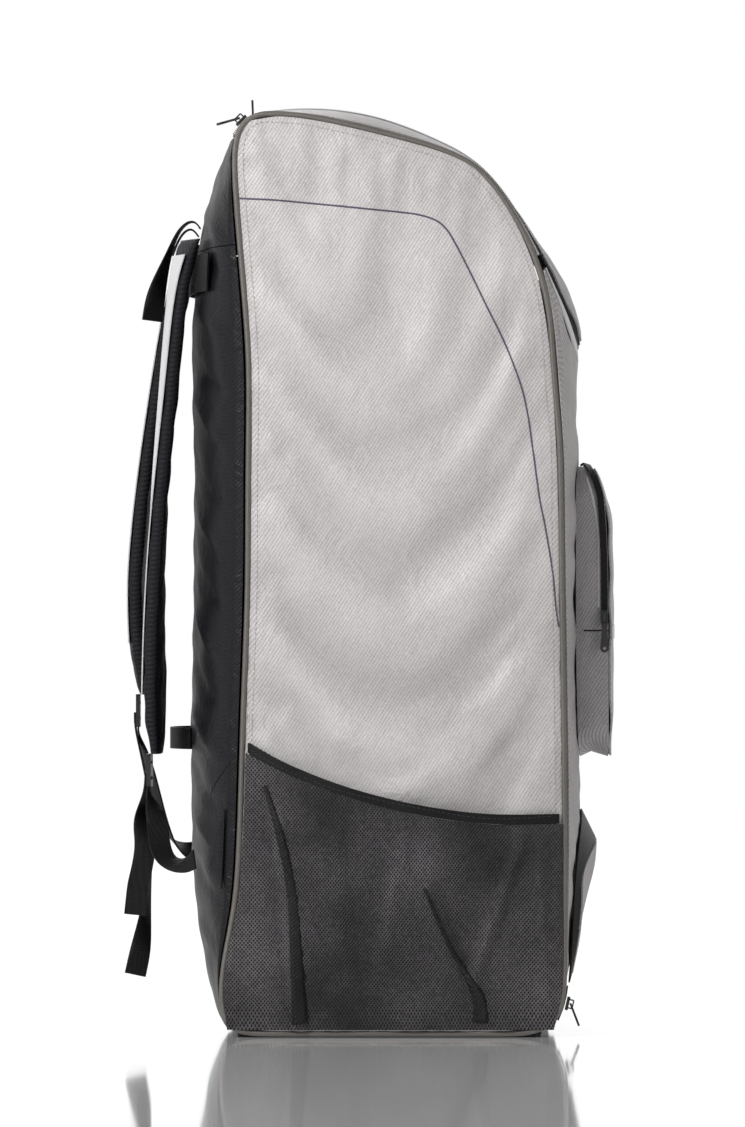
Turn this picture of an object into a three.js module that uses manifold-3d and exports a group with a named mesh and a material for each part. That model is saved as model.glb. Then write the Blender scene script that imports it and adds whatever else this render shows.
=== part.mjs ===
// A tall cricket kit bag standing on its base, in millimetres.
// +X is the front with the pockets, -X the back with the shoulder straps, +Z up.
// The origin is the middle of the flat base, on the floor.
import * as THREE from 'three';
import { mergeVertices } from 'three/addons/utils/BufferGeometryUtils.js';
import Module from 'manifold-3d';

const wasm = await Module();
wasm.setup();

// Driving dimensions
const HEIGHT = 950; // floor to the top of the lid
const SEAM_HEIGHT = 936; // height of the side panels' seam outline
const DEPTH = 350; // back seam to front seam at the base
const WIDTH = 330; // near seam to far seam
const CLOTH = 1.8; // thickness of the coated cloth
const MESH = 1.2; // thickness of the mesh cloth
const BASE_THICK = 4; // stiffened base board
const HEM_THICK = 2.6; // binding along the top of a side pocket
const PIPE_R = 3.6; // radius of the piped seams
const PIPE_SIDES = 6;
const SEAM_GAP = 1.45; // from a piped seam to the cloth sewn into it
const GAP = 0.45; // between pieces sewn side by side
const FLOOR_GAP = 0.3; // the piping stays this far above the base board's face
const ROUNDNESS = 2.3; // how square the bag is across its back and front
const SIDE_CROWN = 15; // how far a side panel bulges
const ZIP_WIDTH = 8;
const ZIP_THICK = 1.6;
const TRIM_WIDTH = 13; // light bands beside the lid's zip
const LID_LIP = 5; // how far the lid's tongue stands proud
const LIP_RUN = 150; // length of the tongue over which it rises
const HEM = 10; // height of that binding
const POCKET_FULLNESS = 11; // how far a side pocket stands off its panel
const BOX_WIDTH = 230; // front pocket
const BOX_HEIGHT = 297;
const BOX_BOTTOM = 284;
const BOX_DEPTH = 34;
const BOX_CORNER = 34;
const BOX_CROWN = 5;
const BOX_ZIP = 7; // width of its zip
const BOX_PILLOW = 2.5; // how far its side walls puff out
const BOX_SAG = 8; // how far its floor creases in
const BAND = 14; // light band across the front pocket
const BAND_HEIGHT = 412; // its middle above the floor
const LOW_DEPTH = 34; // deepest part of the lower pocket
const STRAP_WIDTH = 66;
const STRAP_PAD = 17;
const STRAP_SPACING = 142; // between the two straps' middles
const NEAR_REACH = 38; // how far the near strap's middle hangs off the back
const FAR_REACH = 62;
const COVER = 1.2; // light cover on a strap's outer face
const WEBBING = 22;
const WEBBING_THICK = 1.8;
const HANDLE_SPAN = 130; // carry handle across the back
const HANDLE_RISE = 19;
const HANDLE_HEIGHT = 0.318; // its height as a share of HEIGHT
const SLIDER_LENGTH = 14;
const SLIDER_WIDTH = 8;
const SLIDER_BASE = 3;
const BRIDGE_WIDTH = 2.6; // bar over a slider that its pull hangs from
const BRIDGE_BAR = 1.4;
const BRIDGE_WINDOW = 3.4;
const BRIDGE_SPAN = 10;
const BRIDGE_LEG = 1.4;
const PULL_BAR = 1.8; // the bar of a pull under the bridge
const SHORT_PULL = 24;
const LONG_PULL = 36;
const PULL_WIDTH = 9;
const PULL_THICK = 2.2;
const PULL_WINDOW = 6.4; // far side of the ring's opening
const PULL_SHOULDER = 8; // end of the ring
const PULL_TAPER = 11; // where the tab starts to widen
const EYELET_R = 1.7;
const BUCKLE_WIDTH = 32;
const BUCKLE_LENGTH = 34;
const BUCKLE_SLOT = 3.2;
const BUCKLE_THICK = 4.5;

// Levels on the seam outline, as shares of SEAM_HEIGHT
const BACK_FOOT = 0.008; // lower edge of the back
const FRONT_FOOT = 0.012; // lower edge of the front
const YOKE_SEAM = 0.858;
const LID_HINGE = 0.972; // the lid's sewn edge
const ANCHOR_TOP = 0.853; // band that the shoulder straps are sewn to
const ANCHOR_LOW = 0.812;
const ANCHOR_TURN = 0.6; // how far that band runs to each side

// Ends of the base board, as shares of DEPTH
const BOARD_BACK = -0.452;
const BOARD_FRONT = 0.437;

// Seam outline of a side panel, up the back, over the top and down the front.
// x is a share of DEPTH, z of SEAM_HEIGHT, and crown, of WIDTH, is how far the
// cloth at the bag's middle stands out from the seam.
const OUTLINE = [
  { at: 'base back', x: -0.417, z: 0.0, crown: 0.006 },
  { at: 'back foot', x: -0.467, z: 0.005, crown: 0.014 },
  { at: 'back foot', x: -0.494, z: 0.022, crown: 0.024 },
  { at: 'low back', x: -0.496, z: 0.059, crown: 0.055 },
  { at: 'low back', x: -0.479, z: 0.095, crown: 0.094 },
  { at: 'low back', x: -0.456, z: 0.139, crown: 0.14 },
  { at: 'back', x: -0.442, z: 0.22, crown: 0.166 },
  { at: 'back', x: -0.433, z: 0.338, crown: 0.176 },
  { at: 'back', x: -0.419, z: 0.485, crown: 0.185 },
  { at: 'back', x: -0.418, z: 0.601, crown: 0.183 },
  { at: 'back', x: -0.415, z: 0.72, crown: 0.194 },
  { at: 'yoke', x: -0.425, z: 0.785, crown: 0.183 },
  { at: 'yoke', x: -0.438, z: 0.841, crown: 0.156 },
  { at: 'yoke', x: -0.453, z: 0.909, crown: 0.103 },
  { at: 'top back', x: -0.459, z: 0.952, crown: 0.045 },
  { at: 'top back', x: -0.451, z: 0.977, crown: 0.019 },
  { at: 'top back', x: -0.428, z: 0.992, crown: 0.012 },
  { at: 'top', x: -0.385, z: 1.0, crown: 0.012 },
  { at: 'top', x: -0.331, z: 1.0, crown: 0.019 },
  { at: 'top', x: -0.255, z: 0.998, crown: 0.036 },
  { at: 'top', x: -0.18, z: 0.9925, crown: 0.054 },
  { at: 'top', x: -0.06, z: 0.982, crown: 0.067 },
  { at: 'top', x: 0.049, z: 0.9716, crown: 0.056 },
  { at: 'top', x: 0.14, z: 0.962, crown: 0.036 },
  { at: 'brow', x: 0.21, z: 0.951, crown: 0.026 },
  { at: 'brow', x: 0.262, z: 0.937, crown: 0.022 },
  { at: 'brow', x: 0.313, z: 0.915, crown: 0.022 },
  { at: 'brow', x: 0.371, z: 0.88, crown: 0.026 },
  { at: 'brow', x: 0.41, z: 0.85, crown: 0.038 },
  { at: 'brow', x: 0.444, z: 0.811, crown: 0.064 },
  { at: 'brow', x: 0.459, z: 0.78, crown: 0.082 },
  { at: 'front', x: 0.467, z: 0.74, crown: 0.086 },
  { at: 'front', x: 0.474, z: 0.7, crown: 0.077 },
  { at: 'front', x: 0.488, z: 0.645, crown: 0.063 },
  { at: 'front', x: 0.492, z: 0.528, crown: 0.059 },
  { at: 'front', x: 0.497, z: 0.4, crown: 0.053 },
  { at: 'front', x: 0.502, z: 0.254, crown: 0.057 },
  { at: 'low front', x: 0.502, z: 0.15, crown: 0.042 },
  { at: 'low front', x: 0.502, z: 0.06, crown: 0.018 },
  { at: 'front foot', x: 0.494, z: 0.03, crown: 0.012 },
  { at: 'front foot', x: 0.468, z: 0.01, crown: 0.012 },
  { at: 'base front', x: 0.4, z: 0.0, crown: 0.006 },
  { at: 'base', x: 0.32, z: 0.0, crown: 0.006 },
  { at: 'base', x: 0.0, z: 0.0, crown: 0.006 },
  { at: 'base', x: -0.32, z: 0.0, crown: 0.006 },
];

// Folds and dents of a side panel. x and run are shares of DEPTH, z and wide of
// SEAM_HEIGHT, lean is the fold's slope in degrees and out its height in shares
// of SIDE_CROWN, below zero for a dent.
const FOLDS = [
  { x: -0.3, z: 0.79, run: 0.16, wide: 0.016, lean: -8, out: 0.2 },
  { x: -0.33, z: 0.735, run: 0.14, wide: 0.014, lean: 6, out: -0.2 },
  { x: -0.28, z: 0.66, run: 0.18, wide: 0.018, lean: -14, out: 0.18 },
  { x: -0.3, z: 0.56, run: 0.16, wide: 0.016, lean: 12, out: -0.18 },
  { x: -0.26, z: 0.42, run: 0.2, wide: 0.022, lean: -30, out: 0.22 },
  { x: -0.3, z: 0.35, run: 0.2, wide: 0.02, lean: -35, out: -0.24 },
  { x: -0.1, z: 0.33, run: 0.2, wide: 0.024, lean: -20, out: 0.2 },
  { x: 0.12, z: 0.5, run: 0.26, wide: 0.03, lean: 16, out: -0.22 },
  { x: 0.2, z: 0.44, run: 0.26, wide: 0.022, lean: 22, out: 0.24 },
  { x: 0.3, z: 0.36, run: 0.2, wide: 0.022, lean: 30, out: -0.24 },
  { x: 0.22, z: 0.29, run: 0.22, wide: 0.02, lean: 20, out: 0.2 },
  { x: 0.05, z: 0.78, run: 0.3, wide: 0.05, lean: 30, out: -0.14 },
];

// Zip of the lid, along one arm from the top of the back to the tongue's tip.
// z is the height on the seam outline as a share of SEAM_HEIGHT and half is how
// far the zip lies from the middle, as a share of half of WIDTH.
const LID_ZIP = [
  { side: 'top', x: -0.451, half: 0.72 },
  { side: 'top', x: -0.385, half: 0.72 },
  { side: 'top', x: -0.255, half: 0.73 },
  { side: 'top', x: -0.06, half: 0.76 },
  { side: 'top', x: 0.14, half: 0.83 },
  { side: 'top', x: 0.262, half: 0.88 },
  { side: 'brow', z: 0.89, half: 0.905 },
  { side: 'brow', z: 0.845, half: 0.91 },
  { side: 'brow', z: 0.818, half: 0.9 },
  { side: 'brow', z: 0.798, half: 0.86 },
  { side: 'brow', z: 0.78, half: 0.77 },
  { side: 'brow', z: 0.763, half: 0.6 },
  { side: 'brow', z: 0.754, half: 0.38 },
  { side: 'brow', z: 0.75, half: 0.14 },
];

// Hem of a side pocket: across from the back seam to the front seam, and the
// height of its upper edge as a share of SEAM_HEIGHT.
const HEM_LINE = [
  { across: 0.0, z: 0.316 },
  { across: 0.07, z: 0.303 },
  { across: 0.2, z: 0.282 },
  { across: 0.36, z: 0.264 },
  { across: 0.56, z: 0.247 },
  { across: 0.78, z: 0.238 },
  { across: 1.0, z: 0.239 },
];

// Lower pocket on the front. z, half, edge and mid belong to the light face: its
// height, its half width, and how far its edge and its middle stand off the
// panel. rootZ and rootHalf are where the dark gusset meets the panel. Heights
// are shares of SEAM_HEIGHT, half widths of WIDTH and the rest of LOW_DEPTH.
const LOW_POCKET = [
  { z: 0.064, half: 0.39, edge: 0.12, mid: 0.12, rootZ: 0.054, rootHalf: 0.41 },
  { z: 0.098, half: 0.41, edge: 0.27, mid: 0.18, rootZ: 0.09, rootHalf: 0.432 },
  { z: 0.124, half: 0.41, edge: 0.28, mid: 0.24, rootZ: 0.12, rootHalf: 0.437 },
  { z: 0.15, half: 0.403, edge: 0.27, mid: 0.4, rootZ: 0.152, rootHalf: 0.432 },
  { z: 0.17, half: 0.385, edge: 0.24, mid: 0.55, rootZ: 0.178, rootHalf: 0.41 },
  { z: 0.186, half: 0.33, edge: 0.35, mid: 0.6, rootZ: 0.203, rootHalf: 0.352 },
  { z: 0.198, half: 0.24, edge: 0.46, mid: 0.59, rootZ: 0.222, rootHalf: 0.262 },
  { z: 0.205, half: 0.14, edge: 0.53, mid: 0.57, rootZ: 0.234, rootHalf: 0.152 },
  { z: 0.208, half: 0.04, edge: 0.55, mid: 0.55, rootZ: 0.24, rootHalf: 0.045 },
];

// Front pocket's depth from its floor to its top, as shares of BOX_DEPTH
const BOX_PROFILE = [
  { up: 0.0, deep: 0.94 },
  { up: 0.3, deep: 1.0 },
  { up: 0.8, deep: 1.0 },
  { up: 0.9, deep: 0.88 },
  { up: 0.96, deep: 0.7 },
  { up: 1.0, deep: 0.5 },
];

// Shoulder straps from the yoke down. z is a share of HEIGHT, out of the
// strap's reach, pad of STRAP_PAD, and turn is its twist in degrees.
const NEAR_STRAP = [
  { z: 0.858, out: 0.25, pad: 0.4, turn: 18 },
  { z: 0.841, out: 0.31, pad: 0.7, turn: 14 },
  { z: 0.816, out: 0.35, pad: 0.85, turn: 10 },
  { z: 0.778, out: 0.42, pad: 0.9, turn: 8 },
  { z: 0.722, out: 0.53, pad: 0.94, turn: 7 },
  { z: 0.65, out: 0.74, pad: 0.94, turn: 5 },
  { z: 0.59, out: 0.9, pad: 0.95, turn: 3 },
  { z: 0.53, out: 0.98, pad: 1.0, turn: 0 },
  { z: 0.473, out: 1.0, pad: 1.0, turn: -4 },
  { z: 0.415, out: 1.0, pad: 1.0, turn: -7 },
  { z: 0.367, out: 0.98, pad: 1.0, turn: -9 },
  { z: 0.329, out: 0.95, pad: 0.95, turn: -7 },
  { z: 0.302, out: 0.92, pad: 0.6, turn: -3 },
];
const FAR_STRAP = [
  { z: 0.858, out: 0.14, pad: 0.4, turn: 18 },
  { z: 0.838, out: 0.2, pad: 0.7, turn: 14 },
  { z: 0.812, out: 0.246, pad: 0.85, turn: 10 },
  { z: 0.778, out: 0.36, pad: 0.9, turn: 8 },
  { z: 0.722, out: 0.5, pad: 0.94, turn: 7 },
  { z: 0.65, out: 0.7, pad: 0.94, turn: 6 },
  { z: 0.578, out: 0.87, pad: 0.95, turn: 5 },
  { z: 0.51, out: 0.98, pad: 1.0, turn: 2 },
  { z: 0.463, out: 1.0, pad: 1.0, turn: 0 },
  { z: 0.42, out: 0.97, pad: 1.0, turn: -2 },
  { z: 0.385, out: 0.9, pad: 0.95, turn: -2 },
  { z: 0.364, out: 0.82, pad: 0.6, turn: 0 },
];

// Webbing runs. z is a share of HEIGHT, out, of NEAR_REACH, is how far the band
// hangs off the back, and y is a share of WIDTH, below zero on the near side.
// The band's width points across the bag, face turns it towards the depth and
// lift upwards, in degrees, and thick is a folded end.
const NEAR_ADJUSTER = [
  { z: 0.246, out: 1.04, y: -0.235, face: 40, lift: 0, thick: 1 },
  { z: 0.234, out: 0.97, y: -0.25, face: 80, lift: 0, thick: 1 },
  { z: 0.22, out: 0.95, y: -0.262, face: 85, lift: 0, thick: 1 },
  { z: 0.2, out: 0.93, y: -0.28, face: 75, lift: 5, thick: 1 },
  { z: 0.187, out: 0.82, y: -0.31, face: 45, lift: 20, thick: 1 },
  { z: 0.182, out: 0.6, y: -0.345, face: 15, lift: 30, thick: 1 },
  { z: 0.184, out: 0.38, y: -0.378, face: 10, lift: 55, thick: 1 },
  { z: 0.19, out: 0.27, y: -0.402, face: 20, lift: 75, thick: 1 },
];
const FAR_ADJUSTER = [
  { z: 0.3, out: 1.36, y: 0.24, face: -20, lift: 0, thick: 1 },
  { z: 0.26, out: 1.15, y: 0.252, face: -30, lift: 0, thick: 1 },
  { z: 0.22, out: 0.95, y: 0.275, face: -30, lift: 5, thick: 1 },
  { z: 0.195, out: 0.72, y: 0.32, face: -20, lift: 25, thick: 1 },
  { z: 0.188, out: 0.42, y: 0.37, face: -10, lift: 55, thick: 1 },
  { z: 0.19, out: 0.27, y: 0.402, face: -20, lift: 75, thick: 1 },
];
const NEAR_TAIL = [
  { z: 0.242, out: 1.36, y: -0.19, face: 20, lift: 0, thick: 1 },
  { z: 0.224, out: 1.3, y: -0.18, face: 65, lift: 0, thick: 1 },
  { z: 0.2, out: 1.2, y: -0.186, face: 90, lift: 0, thick: 1 },
  { z: 0.162, out: 1.46, y: -0.186, face: 90, lift: 0, thick: 1 },
  { z: 0.158, out: 1.49, y: -0.186, face: 90, lift: 0, thick: 2.4 },
  { z: 0.127, out: 1.66, y: -0.186, face: 90, lift: 0, thick: 2.4 },
];
const FAR_TAIL = [
  { z: 0.28, out: 1.3, y: 0.19, face: 0, lift: 0, thick: 1 },
  { z: 0.22, out: 1.1, y: 0.19, face: 0, lift: 0, thick: 1 },
  { z: 0.16, out: 1.28, y: 0.19, face: 10, lift: 0, thick: 1 },
  { z: 0.125, out: 1.46, y: 0.19, face: 25, lift: 0, thick: 1 },
  { z: 0.1, out: 1.64, y: 0.19, face: 50, lift: 0, thick: 1 },
  { z: 0.08, out: 1.8, y: 0.19, face: 75, lift: 0, thick: 2.4 },
  { z: 0.056, out: 2.05, y: 0.19, face: 80, lift: 0, thick: 2.4 },
];
const HAUL_OUTER = [
  { z: 0.873, out: 0.0, y: 0.02, face: 0, lift: 0, thick: 1 },
  { z: 0.881, out: 0.17, y: 0.021, face: 1, lift: 0, thick: 1 },
  { z: 0.88, out: 0.4, y: 0.022, face: 3, lift: 0, thick: 1 },
  { z: 0.868, out: 0.61, y: 0.023, face: 5, lift: 0, thick: 1 },
  { z: 0.845, out: 0.74, y: 0.024, face: 10, lift: 0, thick: 1 },
  { z: 0.818, out: 0.88, y: 0.024, face: 35, lift: 0, thick: 1.4 },
  { z: 0.796, out: 0.98, y: 0.022, face: 60, lift: 0, thick: 2 },
  { z: 0.772, out: 1.02, y: 0.021, face: 70, lift: 0, thick: 2 },
];
const HAUL_INNER = [
  { z: 0.864, out: 0.0, y: 0.02, face: 0, lift: 0, thick: 1 },
  { z: 0.873, out: 0.2, y: 0.02, face: 0, lift: 0, thick: 1 },
  { z: 0.871, out: 0.38, y: 0.02, face: 0, lift: 0, thick: 1 },
  { z: 0.862, out: 0.53, y: 0.02, face: 0, lift: 0, thick: 1 },
  { z: 0.843, out: 0.63, y: 0.02, face: 0, lift: 0, thick: 1 },
];

const materials = {
  silver: [0xcbc7c5, 0.62, 0.05],
  black: [0x26262a, 0.55, 0.0],
  piping: [0x6b665f, 0.5, 0.0],
  mesh: [0x37343a, 0.7, 0.0],
  binding: [0x161618, 0.75, 0.0],
  light: [0xe2e0e2, 0.7, 0.0],
  zip: [0x141416, 0.6, 0.0],
  hard: [0x18181b, 0.4, 0.0],
  pad: [0x1d1d22, 0.8, 0.0],
};

const bag = new THREE.Group();

function add(name, geometry, materialName) {
  const [color, roughness, metalness] = materials[materialName];
  const material = new THREE.MeshStandardMaterial({ color, roughness, metalness });
  const mesh = new THREE.Mesh(geometry, material);
  mesh.name = name;
  bag.add(mesh);
  return mesh;
}

function vec(x, y, z) {
  return new THREE.Vector3(x, y, z);
}

function smooth(low, high, value) {
  return THREE.MathUtils.smoothstep(value, low, high);
}

// Value of one column of a table at a place along another
function column(table, key, at, value) {
  const last = table.length - 1;
  const rising = table[last][key] > table[0][key];
  const sign = rising ? 1 : -1;
  if (sign * at <= sign * table[0][key]) return table[0][value];
  for (let i = 1; i <= last; i += 1) {
    const before = table[i - 1];
    const after = table[i];
    if (sign * at <= sign * after[key]) {
      const part = (at - before[key]) / (after[key] - before[key]);
      return THREE.MathUtils.lerp(before[value], after[value], part);
    }
  }
  return table[last][value];
}

// Closed body from vertices and quads or triangles, faces turned outwards
function body(vertices, faces) {
  const position = [];
  let volume = 0;
  for (const [a, b, c] of faces) {
    const [p, q, r] = [vertices[a], vertices[b], vertices[c]];
    volume += p.dot(q.clone().cross(r));
  }
  for (const [a, b, c] of faces) {
    const order = volume > 0 ? [a, b, c] : [a, c, b];
    for (const index of order) position.push(...vertices[index].toArray());
  }
  const geometry = new THREE.BufferGeometry();
  geometry.setAttribute('position', new THREE.Float32BufferAttribute(position, 3));
  geometry.computeVertexNormals();
  return geometry;
}

// Cloth sheet with rounds of points on both faces. place(u, v) is the outer
// face, from 0 to 1 both ways, and away says which way is outwards.
function sheet(rows, columns, place, thickness, away = vec(0, 0, HEIGHT / 2)) {
  const step = 1e-3;
  const outer = [];
  const inner = [];
  const us = Array.isArray(rows) ? rows : spaced(rows);
  const vs = Array.isArray(columns) ? columns : spaced(columns);
  for (const u of us) {
    for (const v of vs) {
      const point = place(u, v);
      const du = place(Math.min(u + step, 1), v).sub(place(Math.max(u - step, 0), v));
      const dv = place(u, Math.min(v + step, 1)).sub(place(u, Math.max(v - step, 0)));
      const normal = du.cross(dv).normalize();
      outer.push({ point, normal });
    }
  }
  const middle = outer[Math.floor(us.length / 2) * vs.length + Math.floor(vs.length / 2)];
  const sign = middle.normal.dot(middle.point.clone().sub(away)) < 0 ? -1 : 1;
  for (const { point, normal } of outer) {
    inner.push(point.clone().addScaledVector(normal, -sign * thickness));
  }
  const vertices = [...outer.map((entry) => entry.point), ...inner];
  return body(vertices, shellFaces(us.length, vs.length));
}

function spaced(count) {
  return Array.from({ length: count + 1 }, (_, i) => i / count);
}

// Places from 0 to 1 that crowd towards both ends
function crowded(count) {
  return spaced(count).map((t) => (1 - Math.cos(t * Math.PI)) / 2);
}

// Faces of a sheet whose outer points come first, then its inner points
function shellFaces(rows, columns) {
  const faces = [];
  const inner = rows * columns;
  const at = (i, j) => i * columns + j;
  for (let i = 0; i < rows - 1; i += 1) {
    for (let j = 0; j < columns - 1; j += 1) {
      const [a, b, c, d] = [at(i, j), at(i + 1, j), at(i + 1, j + 1), at(i, j + 1)];
      faces.push([a, b, c], [a, c, d]);
      faces.push([inner + a, inner + c, inner + b], [inner + a, inner + d, inner + c]);
    }
  }
  const rim = [];
  for (let j = 0; j < columns - 1; j += 1) rim.push(at(0, j));
  for (let i = 0; i < rows - 1; i += 1) rim.push(at(i, columns - 1));
  for (let j = columns - 1; j > 0; j -= 1) rim.push(at(rows - 1, j));
  for (let i = rows - 1; i > 0; i -= 1) rim.push(at(i, 0));
  rim.forEach((a, k) => {
    const b = rim[(k + 1) % rim.length];
    faces.push([a, b, inner + b], [a, inner + b, inner + a]);
  });
  return faces;
}

// Body swept through rings of points, closed on itself or capped at both ends
function swept(rings, closed = false) {
  const sides = rings[0].length;
  const vertices = rings.flat();
  const faces = [];
  const spans = closed ? rings.length : rings.length - 1;
  for (let i = 0; i < spans; i += 1) {
    const next = (i + 1) % rings.length;
    for (let k = 0; k < sides; k += 1) {
      const [a, b] = [i * sides + k, i * sides + ((k + 1) % sides)];
      const [c, d] = [next * sides + ((k + 1) % sides), next * sides + k];
      // Opposite sides of a twisted band are split the same way.
      if (k < sides / 2) faces.push([a, b, c], [a, c, d]);
      else faces.push([a, b, d], [b, c, d]);
    }
  }
  if (!closed) {
    const end = (rings.length - 1) * sides;
    for (let k = 1; k < sides - 1; k += 1) {
      faces.push([0, k + 1, k], [end, end + k, end + k + 1]);
    }
  }
  return body(vertices, faces);
}

// Flat band along a route of { point, across } with a thickness
function band(route, width, thickness) {
  const rings = route.map(({ point, across, thick = 1 }, i) => {
    const ahead = route[Math.min(i + 1, route.length - 1)].point;
    const behind = route[Math.max(i - 1, 0)].point;
    const along = ahead.clone().sub(behind).normalize();
    const side = across.clone().addScaledVector(along, -across.dot(along)).normalize();
    const up = along.clone().cross(side).normalize();
    const corner = (w, t) => point.clone()
      .addScaledVector(side, (w * width) / 2)
      .addScaledVector(up, (t * thick * thickness) / 2);
    return [corner(-1, -1), corner(1, -1), corner(1, 1), corner(-1, 1)];
  });
  return swept(rings);
}

// Height above the floor of a share of the seam outline, which clears the floor
function heightOf(share) {
  return PIPE_R + FLOOR_GAP + share * SEAM_HEIGHT;
}

// The seam outline as a smooth closed curve, measured along its length
const outlineCurve = new THREE.CatmullRomCurve3(
  OUTLINE.map((row) => vec(
    row.x * DEPTH,
    row.crown * WIDTH,
    heightOf(row.z),
  )),
  true,
  'centripetal',
);
const SAMPLES_PER_ROW = 12;
const samples = outlineCurve.getPoints(OUTLINE.length * SAMPLES_PER_ROW);
const lengths = [0];
for (let i = 1; i < samples.length; i += 1) {
  const [p, q] = [samples[i - 1], samples[i]];
  lengths.push(lengths[i - 1] + Math.hypot(q.x - p.x, q.z - p.z));
}
const SEAM_LENGTH = lengths[lengths.length - 1];
const seamTable = samples.map((p, i) => ({ s: lengths[i], x: p.x, z: p.z, crown: p.y }));
const topIndex = seamTable.reduce((best, row, i) => (row.z > seamTable[best].z ? i : best), 0);
const topBack = seamTable.findIndex((row) => row.z >= heightOf(0.96));

// Place on the seam at a length s, with the outward direction and the crown
function seam(s) {
  const wrapped = ((s % SEAM_LENGTH) + SEAM_LENGTH) % SEAM_LENGTH;
  const x = column(seamTable, 's', wrapped, 'x');
  const z = column(seamTable, 's', wrapped, 'z');
  const crown = column(seamTable, 's', wrapped, 'crown');
  const reach = 6;
  const ahead = (wrapped + reach) % SEAM_LENGTH;
  const behind = (wrapped - reach + SEAM_LENGTH) % SEAM_LENGTH;
  const dx = column(seamTable, 's', ahead, 'x') - column(seamTable, 's', behind, 'x');
  const dz = column(seamTable, 's', ahead, 'z') - column(seamTable, 's', behind, 'z');
  const run = Math.hypot(dx, dz);
  return { x, z, crown, nx: -dz / run, nz: dx / run };
}

// Length along the seam where some of its rows cross a value
function crossing(rows, key, value) {
  const i = rows.findIndex((row, k) => k > 0 && (row[key] - value) * (rows[k - 1][key] - value) <= 0);
  const [before, after] = [rows[i - 1], rows[i]];
  const part = (value - before[key]) / (after[key] - before[key]);
  return THREE.MathUtils.lerp(before.s, after.s, part);
}
function backAt(z) {
  return crossing(seamTable, 'z', z);
}
function frontAt(z) {
  return crossing(seamTable.slice(topIndex), 'z', z);
}
function topAt(x) {
  return crossing(seamTable.slice(topBack), 'x', x);
}

// Cloth that runs round the bag between its side panels. turn goes from -1 at
// the near seam over 0 at the middle to 1 at the far seam.
function shell(s, turn, out = 0) {
  const place = seam(s);
  const angle = (Math.abs(turn) * Math.PI) / 2;
  const y = Math.sign(turn) * (WIDTH / 2) * Math.sin(angle) ** (2 / ROUNDNESS);
  const rise = place.crown * Math.max(Math.cos(angle), 0) ** (2 / ROUNDNESS) + out;
  return vec(place.x + place.nx * rise, y, place.z + place.nz * rise);
}

function turnOf(y) {
  const share = Math.min(Math.abs(y) / (WIDTH / 2), 1);
  return (Math.sign(y) * 2 * Math.asin(share ** (ROUNDNESS / 2))) / Math.PI;
}

// How far the cloth may turn before it meets the piped seam
function edgeTurn(s) {
  const place = seam(s);
  const centre = vec(place.x, WIDTH / 2, place.z);
  let [low, high] = [0.3, 1];
  for (let i = 0; i < 24; i += 1) {
    const middle = (low + high) / 2;
    const clear = shell(s, middle).distanceTo(centre) > PIPE_R + SEAM_GAP;
    if (clear) low = middle;
    else high = middle;
  }
  return low;
}

// Lengths along the seam that follow its curve, between two lengths
function stations(from, to, longest = 45) {
  const result = [from];
  const knots = OUTLINE.map((_, i) => lengths[i * SAMPLES_PER_ROW]).filter((s) => s > from + 4 && s < to - 4);
  for (const knot of [...knots, to]) {
    const start = result[result.length - 1];
    const parts = Math.ceil((knot - start) / longest);
    for (let k = 1; k <= parts; k += 1) result.push(start + ((knot - start) * k) / parts);
  }
  return result;
}

// Full width panel of the wrap between two lengths of the seam
function wrapPanel(from, to, columns, out, thickness, longest) {
  const stops = stations(from, to, longest);
  const rows = stops.map((s) => (s - from) / (to - from));
  return sheet(rows, crowded(columns), (u, v) => {
    const s = from + u * (to - from);
    return shell(s, (2 * v - 1) * edgeTurn(s), out);
  }, thickness);
}

const footBack = backAt(heightOf(BACK_FOOT));
const yokeSeam = backAt(heightOf(YOKE_SEAM));
const hinge = backAt(heightOf(LID_HINGE));
const footFront = frontAt(heightOf(FRONT_FOOT));

// The lid's zip as places { s, y } on the flattened wrap, near arm only
const zipArm = new THREE.CatmullRomCurve3(LID_ZIP.map((row) => {
  const s = row.side === 'top' ? topAt(row.x * DEPTH) : frontAt(heightOf(row.z));
  return vec(s, (row.half * WIDTH) / 2, 0);
}), false, 'centripetal');
const ARM_STEPS = 26;
const armPoints = spaced(ARM_STEPS).map((t) => zipArm.getPoint(t));
const tip = armPoints[ARM_STEPS];

// A line beside the zip arm, offset towards the lid (below 0) or away from it
function besideZip(offset) {
  const distance = typeof offset === 'function' ? offset : () => offset;
  return armPoints.map((point, i) => {
    const ahead = armPoints[Math.min(i + 1, ARM_STEPS)];
    const behind = armPoints[Math.max(i - 1, 0)];
    const run = Math.hypot(ahead.x - behind.x, ahead.y - behind.y);
    const [ds, dy] = [(ahead.x - behind.x) / run, (ahead.y - behind.y) / run];
    return { s: point.x - dy * distance(i), y: point.y + ds * distance(i) };
  });
}

// Outer edge of the light band beside the zip, which widens towards the tip
const BAND_STEP = 15;
function bandEdge(i) {
  const growth = smooth(BAND_STEP - 1, ARM_STEPS - 4, i);
  return ZIP_WIDTH / 2 + GAP * 2 + THREE.MathUtils.lerp(2.4, TRIM_WIDTH, growth);
}

// How far the lid stands proud, growing towards its tongue
function lidLip(s) {
  return LID_LIP * smooth(tip.x - LIP_RUN, tip.x - ZIP_WIDTH, s);
}

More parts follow.
